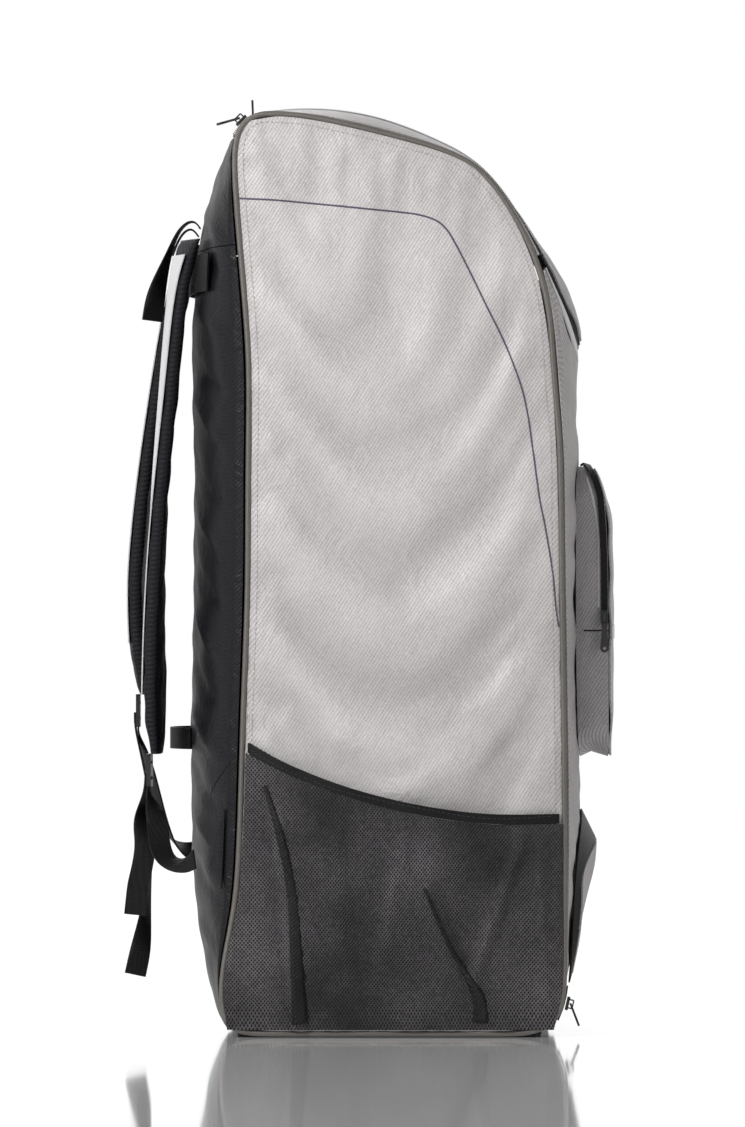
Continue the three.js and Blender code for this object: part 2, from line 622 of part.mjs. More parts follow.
// Strip on the wrap between two lines beside the zip, round both arms
function zipStrip(inside, outside, out, thickness, fromStep = 0) {
  const near = besideZip(inside).map((place, i) => ({ ...place, other: besideZip(outside)[i] }));
  const arm = near.slice(fromStep);
  const both = [
    ...arm.map((row) => ({ a: [row.s, -row.y], b: [row.other.s, -row.other.y] })),
    ...arm.slice().reverse().map((row) => ({ a: [row.s, row.y], b: [row.other.s, row.other.y] })),
  ];
  const last = both.length - 1;
  return sheet(last, 1, (u, v) => {
    const spot = Math.min(u * last, last - 1e-6);
    const [row, next] = [both[Math.floor(spot)], both[Math.floor(spot) + 1]];
    const part = spot - Math.floor(spot);
    const mix = (key, k) => THREE.MathUtils.lerp(row[key][k], next[key][k], part);
    const s = THREE.MathUtils.lerp(mix('a', 0), mix('b', 0), v);
    const y = THREE.MathUtils.lerp(mix('a', 1), mix('b', 1), v);
    return shell(s, turnOf(y), out(s));
  }, thickness);
}

function addWrap() {
  add('back_panel', wrapPanel(footBack, yokeSeam - GAP, 8, 0, CLOTH, 70), 'black');
  add('back_yoke', wrapPanel(yokeSeam + GAP, hinge, 8, 0, CLOTH, 50), 'black');
  const anchorTop = backAt(heightOf(ANCHOR_TOP));
  const anchorLow = backAt(heightOf(ANCHOR_LOW));
  add('strap_anchor_band', sheet(2, 8, (u, v) => {
    const s = THREE.MathUtils.lerp(anchorLow, anchorTop, u);
    return shell(s, (2 * v - 1) * ANCHOR_TURN, 1.6 * CLOTH);
  }, CLOTH), 'binding');

  const length = (BOARD_FRONT - BOARD_BACK) * DEPTH;
  const board = roundedRectangle(length, WIDTH - 2 * (PIPE_R + GAP), 8);
  const base = new THREE.ExtrudeGeometry(board, { depth: BASE_THICK, bevelEnabled: false, curveSegments: 2 });
  base.translate(((BOARD_FRONT + BOARD_BACK) / 2) * DEPTH, 0, 0);
  add('base_panel', solid(base), 'black');

  // The front panel reaches up to the band below the lid's tongue.
  const edge = besideZip(bandEdge);
  const top = (y) => {
    const rows = edge.filter((row) => row.s > tip.x - 0.6 * LIP_RUN).map((row) => ({ s: row.s, y: row.y }));
    return column(rows.reverse(), 'y', Math.abs(y), 's');
  };
  add('front_panel', sheet(13, crowded(12), (u, v) => {
    const turn = (2 * v - 1) * edgeTurn(frontAt(heightOf(0.3)));
    const start = top(shell(tip.x, turn).y) + 4 * GAP;
    const s = THREE.MathUtils.lerp(start, footFront, u);
    return shell(s, (2 * v - 1) * (edgeTurn(s) - 0.003), 0);
  }, CLOTH), 'silver');
}

function roundedRectangle(length, width, radius) {
  const [x, y] = [length / 2, width / 2];
  const shape = new THREE.Shape();
  shape.moveTo(-x + radius, -y);
  shape.lineTo(x - radius, -y);
  shape.absarc(x - radius, -y + radius, radius, -Math.PI / 2, 0, false);
  shape.lineTo(x, y - radius);
  shape.absarc(x - radius, y - radius, radius, 0, Math.PI / 2, false);
  shape.lineTo(-x + radius, y);
  shape.absarc(-x + radius, y - radius, radius, Math.PI / 2, Math.PI, false);
  shape.lineTo(-x, -y + radius);
  shape.absarc(-x + radius, -y + radius, radius, Math.PI, 1.5 * Math.PI, false);
  return shape;
}

// Geometry and manifold bodies, both ways
function solid(geometry) {
  const bare = geometry.clone();
  bare.deleteAttribute('normal');
  bare.deleteAttribute('uv');
  return mergeVertices(bare, 1e-4);
}
function manifold(geometry) {
  const merged = solid(geometry);
  const vertProperties = new Float32Array(merged.attributes.position.array);
  const triVerts = new Uint32Array(merged.index.array);
  return new wasm.Manifold(new wasm.Mesh({ numProp: 3, vertProperties, triVerts }));
}
function fromManifold(joined) {
  const mesh = joined.getMesh();
  const geometry = new THREE.BufferGeometry();
  geometry.setAttribute('position', new THREE.BufferAttribute(mesh.vertProperties, 3));
  geometry.setIndex(new THREE.BufferAttribute(mesh.triVerts, 1));
  geometry.computeVertexNormals();
  return geometry;
}

function addLid() {
  const zipHalf = ZIP_WIDTH / 2;
  const inner = besideZip(-zipHalf - GAP * 2);
  const rows = inner.map((_, i) => i / ARM_STEPS).filter((u, i) => i % 2 === 0 || i > 16);
  add('lid', sheet(rows, spaced(8), (u, v) => {
    const spot = Math.min(u * ARM_STEPS, ARM_STEPS - 1e-6);
    const [row, next] = [inner[Math.floor(spot)], inner[Math.floor(spot) + 1]];
    const part = spot - Math.floor(spot);
    const s = THREE.MathUtils.lerp(row.s, next.s, part);
    const half = THREE.MathUtils.lerp(row.y, next.y, part);
    const across = Math.sin(((2 * v - 1) * Math.PI) / 2) * half;
    return shell(s, turnOf(across), lidLip(s));
  }, CLOTH), 'silver');
  add('lid_zip', zipStrip(-zipHalf, zipHalf, (s) => lidLip(s) * 0.4, ZIP_THICK), 'zip');
  add('lid_zip_band', zipStrip(
    zipHalf + GAP * 2,
    bandEdge,
    (s) => lidLip(s) * 0.2,
    CLOTH,
    BAND_STEP,
  ), 'light');

  // Narrow gussets between the zip and the side seams
  const outer = besideZip(zipHalf + GAP * 2);
  for (const [side, sign] of [['near', -1], ['far', 1]]) {
    add(`gusset_${side}`, sheet(BAND_STEP - 1, 2, (u, v) => {
      const spot = Math.min(u * (BAND_STEP - 1), BAND_STEP - 1 - 1e-6);
      const [row, next] = [outer[Math.floor(spot)], outer[Math.floor(spot) + 1]];
      const part = spot - Math.floor(spot);
      const s = THREE.MathUtils.lerp(row.s, next.s, part);
      const y = THREE.MathUtils.lerp(row.y, next.y, part);
      const turn = THREE.MathUtils.lerp(turnOf(y), edgeTurn(s), v);
      return shell(s, sign * turn, 0);
    }, CLOTH), 'silver');
  }
}

// Side panels
const sideCorners = {
  lowBack: backAt(heightOf(0.03)),
  highBack: backAt(heightOf(0.975)),
  highFront: frontAt(heightOf(0.941)),
  lowFront: frontAt(heightOf(0.035)),
};

function insetSeam(s) {
  const place = seam(s);
  const inset = PIPE_R + SEAM_GAP + GAP;
  return { x: place.x - place.nx * inset, z: place.z - place.nz * inset };
}

// Place inside the side panel's outline, from four curves of the seam
function panelPlace(u, v) {
  const { lowBack, highBack, highFront, lowFront } = sideCorners;
  const mix = THREE.MathUtils.lerp;
  const left = insetSeam(mix(lowBack, highBack, v));
  const right = insetSeam(mix(lowFront, highFront, v));
  const top = insetSeam(mix(highBack, highFront, u));
  const bottom = insetSeam(mix(lowBack + SEAM_LENGTH, lowFront, u));
  const corners = [lowBack, lowFront, highBack, highFront].map(insetSeam);
  const blend = (key) => (1 - u) * left[key] + u * right[key] + (1 - v) * bottom[key] + v * top[key]
    - (1 - u) * (1 - v) * corners[0][key] - u * (1 - v) * corners[1][key]
    - (1 - u) * v * corners[2][key] - u * v * corners[3][key];
  return { x: blend('x'), z: blend('z') };
}

function foldHeight(x, z) {
  let sum = 0;
  for (const fold of FOLDS) {
    const lean = THREE.MathUtils.degToRad(fold.lean);
    const dx = x - fold.x * DEPTH;
    const dz = z - heightOf(fold.z);
    const along = (dx * Math.cos(lean) + dz * Math.sin(lean)) / (fold.run * DEPTH);
    const across = (dz * Math.cos(lean) - dx * Math.sin(lean)) / (fold.wide * SEAM_HEIGHT);
    sum += fold.out * SIDE_CROWN * Math.exp(-along * along * 2 - across * across);
  }
  return sum;
}

function seamX(side, z) {
  return insetSeam(side === 'back' ? backAt(z) : frontAt(z)).x;
}

// Share of full bulge at a place, from 0 on the seam to 1 well inside
function inside(x, z) {
  const height = THREE.MathUtils.clamp(z, heightOf(0.01), heightOf(0.99));
  const back = seamX('back', height);
  const front = seamX('front', height);
  const across = THREE.MathUtils.clamp((x - back) / (front - back), 0, 1);
  const up = THREE.MathUtils.clamp((z - heightOf(0)) / SEAM_HEIGHT, 0, 1);
  return (4 * across * (1 - across)) ** 0.7 * (4 * up * (1 - up)) ** 0.6;
}

// How far a side panel's outer face stands out from the seam's plane
function sideBulge(x, z) {
  return CLOTH / 2 + inside(x, z) * (SIDE_CROWN + foldHeight(x, z));
}

function addSides() {
  for (const [side, sign] of [['near', -1], ['far', 1]]) {
    add(`side_panel_${side}`, sheet(crowded(11), crowded(19), (u, v) => {
      const { x, z } = panelPlace(u, v);
      return vec(x, sign * (WIDTH / 2 + sideBulge(x, z)), z);
    }, CLOTH), 'silver');
    const stops = stations(0, SEAM_LENGTH, 60).slice(0, -1);
    const rings = stops.map((s) => {
      const place = seam(s);
      return Array.from({ length: PIPE_SIDES }, (_, k) => {
        const angle = ((k + 0.5) * 2 * Math.PI) / PIPE_SIDES;
        const out = Math.cos(angle) * PIPE_R;
        const y = sign * (WIDTH / 2) + Math.sin(angle) * PIPE_R;
        return vec(place.x + place.nx * out, y, place.z + place.nz * out);
      });
    });
    add(`piping_${side}`, swept(rings, true), 'piping');
  }
}

// Mesh side pockets
function hemHeight(across) {
  return heightOf(column(HEM_LINE, 'across', across, 'z'));
}

// Outer face of a side pocket, up from the base to its hem and beyond
function pocketPlace(sign, across, z, up) {
  const x = THREE.MathUtils.lerp(seamX('back', z), seamX('front', z), across);
  const fullness = (4 * across * (1 - across)) ** 0.5 * up ** 0.6;
  const gathers = 0.12 * up * up * Math.sin(across * 18 * Math.PI);
  const stand = MESH + CLOTH / 2 + GAP + POCKET_FULLNESS * fullness * (1 + gathers);
  return vec(x, sign * (WIDTH / 2 + sideBulge(x, z) + stand), z);
}

function addSidePockets() {
  const floor = heightOf(0.0115);
  for (const [side, sign] of [['near', -1], ['far', 1]]) {
    add(`mesh_pocket_${side}`, sheet(9, crowded(12), (u, v) => {
      const z = THREE.MathUtils.lerp(floor, hemHeight(v) - HEM - GAP, u);
      return pocketPlace(sign, v, z, u);
    }, MESH), 'mesh');
    add(`pocket_hem_${side}`, sheet(1, crowded(12), (u, v) => {
      const z = hemHeight(v) - HEM + u * HEM;
      const place = pocketPlace(sign, v, z, 1);
      return place.add(vec(0, sign * (HEM_THICK - MESH) * 0.5, 0));
    }, HEM_THICK), 'binding');
  }
}

// Front surfaces
function frontX(z, y) {
  return shell(frontAt(z), turnOf(y)).x;
}
function backX(z, y) {
  return shell(backAt(z), turnOf(y)).x;
}

// Front pocket
const BOX_MIDDLE = BOX_BOTTOM + BOX_HEIGHT / 2;
function boxFrontX(z) {
  const up = (z - BOX_BOTTOM) / BOX_HEIGHT;
  return frontX(z, BOX_WIDTH / 2) + BOX_DEPTH * column(BOX_PROFILE, 'up', up, 'deep');
}

// Stops round the front pocket's rim, each with its outward direction
function boxRim() {
  const corners = roundedRectangle(BOX_WIDTH, BOX_HEIGHT, BOX_CORNER).getPoints(4);
  const stops = [];
  corners.forEach((p, i) => {
    const q = corners[(i + 1) % corners.length];
    const parts = Math.ceil(p.distanceTo(q) / 60);
    for (let k = 0; k < parts; k += 1) {
      const at = p.clone().lerp(q, k / parts);
      if (p.distanceTo(q) > 1e-3) stops.push(at);
    }
  });
  return stops.map((at, i) => {
    const ahead = stops[(i + 1) % stops.length];
    const behind = stops[(i - 1 + stops.length) % stops.length];
    const run = ahead.clone().sub(behind).normalize();
    return { y: at.x, z: at.y + BOX_MIDDLE, ny: run.y, nz: -run.x };
  });
}

// Outer face of the gusset at a stop; deep runs from the panel to the front edge
function boxGusset(stop, deep, out) {
  const root = frontX(stop.z, stop.y) + CLOTH / 2;
  const x = THREE.MathUtils.lerp(root, boxFrontX(stop.z), deep);
  const floor = 1 - smooth(BOX_BOTTOM, BOX_BOTTOM + BOX_CORNER, stop.z);
  const pillow = (BOX_PILLOW - BOX_SAG * floor) * 4 * deep * (1 - deep);
  return vec(x, stop.y + stop.ny * (pillow + out), stop.z + stop.nz * (pillow + out));
}

function boxHalf(z) {
  const over = Math.abs(z - BOX_MIDDLE) - (BOX_HEIGHT / 2 - BOX_CORNER);
  if (over <= 0) return BOX_WIDTH / 2;
  return BOX_WIDTH / 2 - BOX_CORNER + Math.sqrt(Math.max(BOX_CORNER ** 2 - over ** 2, 0));
}

// Outer face of the pocket's front, across from -1 to 1
function boxFace(z, across, out) {
  const ends = 1 - Math.abs((z - BOX_MIDDLE) / (BOX_HEIGHT / 2)) ** 4;
  const crown = BOX_CROWN * (1 - across ** 2) * (0.25 + 0.75 * ends);
  return vec(boxFrontX(z) + 2 * GAP + CLOTH + crown + out, across * boxHalf(z), z);
}

function addFrontPocket() {
  const rim = boxRim();
  const depths = [0, 0.4, 1];
  add('front_pocket_gusset', swept(rim.map((stop) => [
    ...depths.map((deep) => boxGusset(stop, deep, 0)),
    ...depths.slice().reverse().map((deep) => boxGusset(stop, deep, -CLOTH)),
  ]), true), 'silver');

  const lowest = BOX_BOTTOM + 1;
  add('front_pocket_face', sheet(crowded(11), crowded(8), (u, v) => {
    return boxFace(lowest + u * (BOX_HEIGHT - 2), 2 * v - 1, 0);
  }, CLOTH), 'silver');

  const zipStops = rim.filter((stop) => stop.z > BAND_HEIGHT)
    .sort((a, b) => rimAngle(a) - rimAngle(b));
  const zipAt = (stop, edge, out) => {
    const share = 1 - (0.6 + edge * BOX_ZIP) / (boxFrontX(stop.z) - frontX(stop.z, stop.y));
    return boxGusset(stop, share, out);
  };
  add('front_pocket_zip', swept(zipStops.map((stop) => [
    zipAt(stop, 0, 2 * GAP), zipAt(stop, 1, 2 * GAP),
    zipAt(stop, 1, 2 * GAP + ZIP_THICK), zipAt(stop, 0, 2 * GAP + ZIP_THICK),
  ])), 'zip');

  add('front_pocket_band', sheet(1, crowded(6), (u, v) => {
    return boxFace(BAND_HEIGHT + (u - 0.5) * BAND, (2 * v - 1) * 0.99, GAP + COVER);
  }, COVER), 'light');
}

// Order of the rim's stops from the near side over the top to the far side
function rimAngle(stop) {
  return Math.atan2(stop.y, stop.z - BOX_MIDDLE + BOX_HEIGHT / 2);
}

// Lower pocket: a light face with a dark arched gusset round it
function addLowPocket() {
  const point = (z, y, out) => vec(frontX(z, y) + out, y, z);
  const rows = [
    ...LOW_POCKET.map((row) => ({ row, sign: -1 })),
    ...LOW_POCKET.slice().reverse().map((row) => ({ row, sign: 1 })),
  ];
  const last = rows.length - 1;
  const ends = rows.map(({ row, sign }) => {
    const root = point(heightOf(row.rootZ), sign * row.rootHalf * WIDTH, CLOTH + 2 * GAP);
    const edge = point(heightOf(row.z), sign * row.half * WIDTH, row.edge * LOW_DEPTH);
    const back = root.clone().sub(edge).normalize().multiplyScalar(CLOTH + GAP / 2);
    return [root, edge.add(back)];
  });
  const inner = vec(frontX(heightOf(0.12), 0), 0, heightOf(0.12));
  add('low_pocket_gusset', sheet(last, [0, 0.5, 1], (u, v) => {
    const spot = Math.min(u * last, last - 1e-6);
    const i = Math.floor(spot);
    const from = ends[i][0].clone().lerp(ends[i + 1][0], spot - i);
    const to = ends[i][1].clone().lerp(ends[i + 1][1], spot - i);
    return from.lerp(to, v);
  }, CLOTH, inner), 'black');

  const steps = LOW_POCKET.length - 1;
  add('low_pocket_face', sheet(steps, crowded(8), (u, v) => {
    const spot = Math.min(u * steps, steps - 1e-6);
    const [row, next] = [LOW_POCKET[Math.floor(spot)], LOW_POCKET[Math.floor(spot) + 1]];
    const mix = (key) => THREE.MathUtils.lerp(row[key], next[key], spot - Math.floor(spot));
    const across = 2 * v - 1;
    const stand = THREE.MathUtils.lerp(mix('mid'), mix('edge'), across ** 2);
    return point(heightOf(mix('z')), across * mix('half') * WIDTH, stand * LOW_DEPTH);
  }, CLOTH), 'silver');
}

// Shoulder straps
function strapFrame(row, sign, reach) {
  const turn = THREE.MathUtils.degToRad(row.turn);
  const z = row.z * HEIGHT;
  const y = (sign * STRAP_SPACING) / 2;
  return {
    centre: vec(backX(z, y) - row.out * reach, y, z),
    out: vec(-Math.cos(turn), sign * Math.sin(turn), 0),
    across: vec(sign * Math.sin(turn), Math.cos(turn), 0),
    half: (row.pad * STRAP_PAD) / 2,
  };
}

// Ring round a strap between two heights above its middle plane
function strapRing(frame, width, low, high, chamfer) {
  const corner = (w, t) => frame.centre.clone()
    .addScaledVector(frame.across, w)
    .addScaledVector(frame.out, t);
  const half = width / 2;
  if (!chamfer) {
    return [corner(-half, low), corner(half, low), corner(half, high), corner(-half, high)];
  }
  return [
    corner(-half, low * 0.5), corner(-half + chamfer, low),
    corner(half - chamfer, low), corner(half, low * 0.5),
    corner(half, high * 0.5), corner(half - chamfer, high),
    corner(-half + chamfer, high), corner(-half, high * 0.5),
  ];
}

function addStrap(side, sign, table, reach) {
  const frames = table.map((row) => strapFrame(row, sign, reach));
  add(`strap_${side}`, swept(frames.map((frame) => {
    return strapRing(frame, STRAP_WIDTH, -frame.half, frame.half, STRAP_WIDTH * 0.08);
  })), 'pad');
  add(`strap_cover_${side}`, swept(frames.slice(1, -2).map((frame) => {
    const low = frame.half + GAP;
    return strapRing(frame, STRAP_WIDTH * 0.82, low, low + COVER, 0);
  })), 'light');
  return frames;
}

// Ladder lock buckle on the outer face of a strap's lower end
function addBuckle(side, frame) {
  let plate = manifold(new THREE.ExtrudeGeometry(
    roundedRectangle(BUCKLE_LENGTH, BUCKLE_WIDTH, 3),
    { depth: BUCKLE_THICK, bevelEnabled: false, curveSegments: 2 },
  ));
  for (const along of [-0.24, 0.24]) {
    const slot = new THREE.BoxGeometry(BUCKLE_SLOT, WEBBING + 2, 4 * BUCKLE_THICK);
    slot.translate(along * BUCKLE_LENGTH, 0, 0);
    plate = plate.subtract(manifold(slot));
  }
  const place = frame.centre.clone()
    .addScaledVector(frame.out, frame.half + GAP)
    .add(vec(0, 0, -BUCKLE_LENGTH * 0.5));
  const upwards = frame.across.clone().cross(frame.out);
  const basis = new THREE.Matrix4().makeBasis(upwards, frame.across, frame.out);
  basis.setPosition(place);
  const buckle = fromManifold(plate);
  buckle.applyMatrix4(basis);
  add(`strap_buckle_${side}`, buckle, 'hard');

  const at = (along, out) => place.clone()
    .addScaledVector(upwards, along)
    .addScaledVector(frame.out, out);
  const front = BUCKLE_THICK + GAP + WEBBING_THICK / 2;
  const stop = (point) => ({ point, across: frame.across, thick: 1 });
  return {
    adjuster: [-BUCKLE_LENGTH / 2 - GAP, -BUCKLE_LENGTH * 0.7]
      .map((along) => stop(at(along, BUCKLE_THICK / 2))),
    tail: [stop(at(-2, front)), stop(at(-BUCKLE_LENGTH * 0.6, front))],
  };
}

function webbing(name, table, start = []) {
  const route = table.map((row) => {
    const face = THREE.MathUtils.degToRad(row.face);
    const lift = THREE.MathUtils.degToRad(row.lift);
    const [y, z] = [row.y * WIDTH, row.z * HEIGHT];
    return {
      point: vec(backX(z, y) - row.out * NEAR_REACH, y, z),
      across: vec(
        Math.sin(face) * Math.cos(lift),
        Math.cos(face) * Math.cos(lift),
        Math.sin(lift),
      ),
      thick: row.thick,
    };
  });
  add(name, band([...start, ...route], WEBBING, WEBBING_THICK), 'binding');
}

function addHarness() {
  const near = addStrap('near', -1, NEAR_STRAP, NEAR_REACH);
  const far = addStrap('far', 1, FAR_STRAP, FAR_REACH);
  const nearBuckle = addBuckle('near', near[near.length - 1]);
  const farBuckle = addBuckle('far', far[far.length - 1]);
  webbing('adjuster_near', NEAR_ADJUSTER, nearBuckle.adjuster);
  webbing('adjuster_far', FAR_ADJUSTER, farBuckle.adjuster);
  webbing('strap_tail_near', NEAR_TAIL, nearBuckle.tail);
  webbing('strap_tail_far', FAR_TAIL, farBuckle.tail);
  webbing('haul_loop_outer', HAUL_OUTER);
  webbing('haul_loop_inner', HAUL_INNER);

  // Triangular wings sewn into the side seams carry the adjusters.
  for (const [side, sign] of [['near', -1], ['far', 1]]) {
    add(`anchor_wing_${side}`, sheet(4, 2, (u, v) => {
      const root = THREE.MathUtils.lerp(0.156, 0.244, v);
      const end = THREE.MathUtils.lerp(0.18, 0.204, v);
      const s = backAt(heightOf(THREE.MathUtils.lerp(root, end, u)));
      const turn = THREE.MathUtils.lerp(edgeTurn(s) - 0.04, 0.72, u);
      return shell(s, sign * turn, CLOTH * (1.2 + 2.8 * (1 - u) ** 2));
    }, CLOTH, vec(0, 0, heightOf(0.2))), 'black');
  }

  // Carry handle across the back
  const height = HANDLE_HEIGHT * HEIGHT;
  const rise = spaced(8).map((t) => {
    const y = (t - 0.5) * HANDLE_SPAN;
    const lift = Math.sin(t * Math.PI) ** 0.6 * HANDLE_RISE;
    return { point: vec(backX(height, y) + GAP - lift, y, height), across: vec(0, 0, 1) };
  });
  add('carry_handle', band(rise, WEBBING, WEBBING_THICK * 1.6), 'binding');
}

// Zip sliders and their pulls
function sliderBody() {
  const base = new THREE.ExtrudeGeometry(
    roundedRectangle(SLIDER_LENGTH, SLIDER_WIDTH, 2),
    { depth: SLIDER_BASE, bevelEnabled: false, curveSegments: 2 },
  );
  const [foot, top] = [SLIDER_BASE - 1, SLIDER_BASE + BRIDGE_WINDOW + BRIDGE_BAR];
  const arch = new THREE.Shape();
  const end = BRIDGE_SPAN / 2;
  arch.moveTo(-end, foot);
  arch.lineTo(end, foot);
  arch.lineTo(end, top - 1);
  arch.lineTo(end - 1, top);
  arch.lineTo(1 - end, top);
  arch.lineTo(-end, top - 1);
  arch.closePath();
  const window = new THREE.Path();
  const jamb = end - BRIDGE_LEG;
  window.moveTo(-jamb, SLIDER_BASE);
  window.lineTo(-jamb, SLIDER_BASE + BRIDGE_WINDOW);
  window.lineTo(jamb, SLIDER_BASE + BRIDGE_WINDOW);
  window.lineTo(jamb, SLIDER_BASE);
  window.closePath();
  arch.holes.push(window);
  const bridge = new THREE.ExtrudeGeometry(arch, { depth: BRIDGE_WIDTH, bevelEnabled: false });
  bridge.translate(0, 0, -BRIDGE_WIDTH / 2);
  bridge.rotateX(Math.PI / 2);
  return fromManifold(manifold(base).add(manifold(bridge)));
}

// Moulded pull: a ring round the bridge, then a tab that widens to an eyelet
function pullBody(reach) {
  const ring = BRIDGE_WIDTH / 2 + 0.8;
  const neck = ring + 1.3;
  const start = -PULL_BAR / 2;
  const wide = PULL_WIDTH / 2;
  const shape = new THREE.Shape();
  shape.moveTo(start, -neck);
  shape.lineTo(PULL_SHOULDER, -neck);
  shape.lineTo(PULL_TAPER, -neck * 0.8);
  shape.lineTo(reach - wide, -wide);
  shape.absarc(reach - wide, 0, wide, -Math.PI / 2, Math.PI / 2, false);
  shape.lineTo(PULL_TAPER, neck * 0.8);
  shape.lineTo(PULL_SHOULDER, neck);
  shape.lineTo(start, neck);
  shape.closePath();
  const hole = new THREE.Path();
  hole.moveTo(PULL_BAR / 2, -ring);
  hole.lineTo(PULL_BAR / 2, ring);
  hole.lineTo(PULL_WINDOW, ring);
  hole.lineTo(PULL_WINDOW, -ring);
  hole.closePath();
  const eyelet = new THREE.Path();
  eyelet.absarc(reach - wide, 0, EYELET_R, 0, 2 * Math.PI, true);
  shape.holes.push(hole, eyelet);
  const tab = new THREE.ExtrudeGeometry(shape, {
    depth: PULL_THICK, bevelEnabled: false, curveSegments: 4,
  });
  tab.translate(0, 0, -PULL_THICK / 2);
  return solid(tab);
}

// A slider and its pull at a place; lean turns the pull from the surface's
// normal towards the zip's direction.
function addZipPull(name, place, along, normal, lean, reach) {
  const across = normal.clone().cross(along).normalize();
  const slider = sliderBody();
  const basis = new THREE.Matrix4().makeBasis(along, across, normal);
  basis.setPosition(place);
  slider.applyMatrix4(basis);
  add(`${name}_slider`, slider, 'hard');

  const angle = THREE.MathUtils.degToRad(lean);
  const pivot = place.clone().addScaledVector(normal, SLIDER_BASE + BRIDGE_WINDOW / 2);
  const towards = normal.clone().multiplyScalar(Math.cos(angle))
    .addScaledVector(along, Math.sin(angle));
  const flat = towards.clone().cross(across);
  const turned = new THREE.Matrix4().makeBasis(towards, across, flat);
  turned.setPosition(pivot);
  const pull = pullBody(reach);
  pull.applyMatrix4(turned);
  add(`${name}_pull`, pull, 'hard');
}

function addPulls() {
  const arm = armPoints.map((point) => ({ s: point.x, y: point.y }));
  for (const [side, sign, share, lean] of [['near', -1, -0.43, -60], ['far', 1, -0.405, 22]]) {
    const start = topAt(share * DEPTH);
    const place = seam(start);
    const normal = vec(place.nx, 0, place.nz);
    const along = vec(place.nz, 0, -place.nx);
    const turn = turnOf(column(arm, 's', start, 'y'));
    addZipPull(`lid_${side}`, shell(start, sign * turn, GAP / 2), along, normal, lean, SHORT_PULL);
  }

  const height = BAND_HEIGHT + 15;
  const edge = boxFrontX(height) - 0.6 - BOX_ZIP / 2;
  const side = vec(edge, -BOX_WIDTH / 2 - 3 * GAP - ZIP_THICK - BOX_PILLOW / 2 - 0.4, height);
  addZipPull('front_pocket', side, vec(0, 0, 1), vec(0, -1, 0), -88, LONG_PULL);

  const foot = frontAt(heightOf(0.032));
  const corner = seam(foot);
  const out = vec(corner.nx, 0, corner.nz);
  const down = vec(corner.nz, 0, -corner.nx);
  const turn = turnOf(-0.36 * WIDTH);
  const [top, low] = [frontAt(heightOf(0.05)), frontAt(heightOf(0.014))];
  add('low_zip', sheet(3, 1, (u, v) => {
    const s = THREE.MathUtils.lerp(top, low, u);
    return shell(s, turn + ((v - 0.5) * ZIP_WIDTH) / WIDTH, ZIP_THICK - GAP);
  }, ZIP_THICK), 'zip');
  addZipPull('low', shell(foot, turn, ZIP_THICK + GAP / 2), down, out, 56, SHORT_PULL);
}

addWrap();
addLid();
addSides();
addSidePockets();
addFrontPocket();
addLowPocket();
addHarness();
addPulls();

export default bag;
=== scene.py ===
"""Cricket kit bag: cloth, webbing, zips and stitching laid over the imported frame."""

import math

import bmesh
import bpy
import numpy as np
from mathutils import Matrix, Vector
from mathutils.bvhtree import BVHTree


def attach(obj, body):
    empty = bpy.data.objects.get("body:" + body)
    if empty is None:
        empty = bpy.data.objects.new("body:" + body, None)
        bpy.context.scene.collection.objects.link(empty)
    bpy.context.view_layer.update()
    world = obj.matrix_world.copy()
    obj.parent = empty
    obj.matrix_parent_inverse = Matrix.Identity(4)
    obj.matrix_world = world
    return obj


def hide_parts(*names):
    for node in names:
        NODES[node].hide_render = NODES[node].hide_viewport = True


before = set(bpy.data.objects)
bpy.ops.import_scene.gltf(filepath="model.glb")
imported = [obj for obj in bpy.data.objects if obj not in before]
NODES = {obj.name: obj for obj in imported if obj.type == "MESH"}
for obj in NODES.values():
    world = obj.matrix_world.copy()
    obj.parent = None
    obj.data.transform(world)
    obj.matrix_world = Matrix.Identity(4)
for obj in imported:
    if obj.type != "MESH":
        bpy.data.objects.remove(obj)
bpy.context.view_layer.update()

# Sizes of the bag, in metres
SEAM_HEIGHT = 0.936
DEPTH = 0.35
WIDTH = 0.33
SEAM_FLOOR = 0.0039
ROUNDNESS = 2.3
STEPS = 8  # spline steps between two rows of a table

# Side seam, from the base up the back, over the top and down the front.
# x is a share of DEPTH, z of SEAM_HEIGHT and crown of WIDTH.
OUTLINE = [
    (-0.417, 0.0, 0.006), (-0.467, 0.005, 0.014), (-0.494, 0.022, 0.024),
    (-0.496, 0.059, 0.055), (-0.479, 0.095, 0.094), (-0.456, 0.139, 0.14),
    (-0.442, 0.22, 0.166), (-0.433, 0.338, 0.176), (-0.419, 0.485, 0.185),
    (-0.418, 0.601, 0.183), (-0.415, 0.72, 0.194), (-0.425, 0.785, 0.183),
    (-0.438, 0.841, 0.156), (-0.453, 0.909, 0.103), (-0.459, 0.952, 0.045),
    (-0.451, 0.977, 0.019), (-0.428, 0.992, 0.012), (-0.385, 1.0, 0.012),
    (-0.331, 1.0, 0.019), (-0.255, 0.998, 0.036), (-0.18, 0.9925, 0.054),
    (-0.06, 0.982, 0.067), (0.049, 0.9716, 0.056), (0.14, 0.962, 0.036),
    (0.21, 0.951, 0.026), (0.262, 0.937, 0.022), (0.313, 0.915, 0.022),
    (0.371, 0.88, 0.026), (0.41, 0.85, 0.038), (0.444, 0.811, 0.064),
    (0.459, 0.78, 0.082), (0.467, 0.74, 0.086), (0.474, 0.7, 0.077),
    (0.488, 0.645, 0.063), (0.492, 0.528, 0.059), (0.497, 0.4, 0.053),
    (0.502, 0.254, 0.057), (0.502, 0.15, 0.042), (0.502, 0.06, 0.018),
    (0.494, 0.03, 0.012), (0.468, 0.01, 0.012), (0.4, 0.0, 0.006),
    (0.32, 0.0, 0.006), (0.0, 0.0, 0.006), (-0.32, 0.0, 0.006),
]

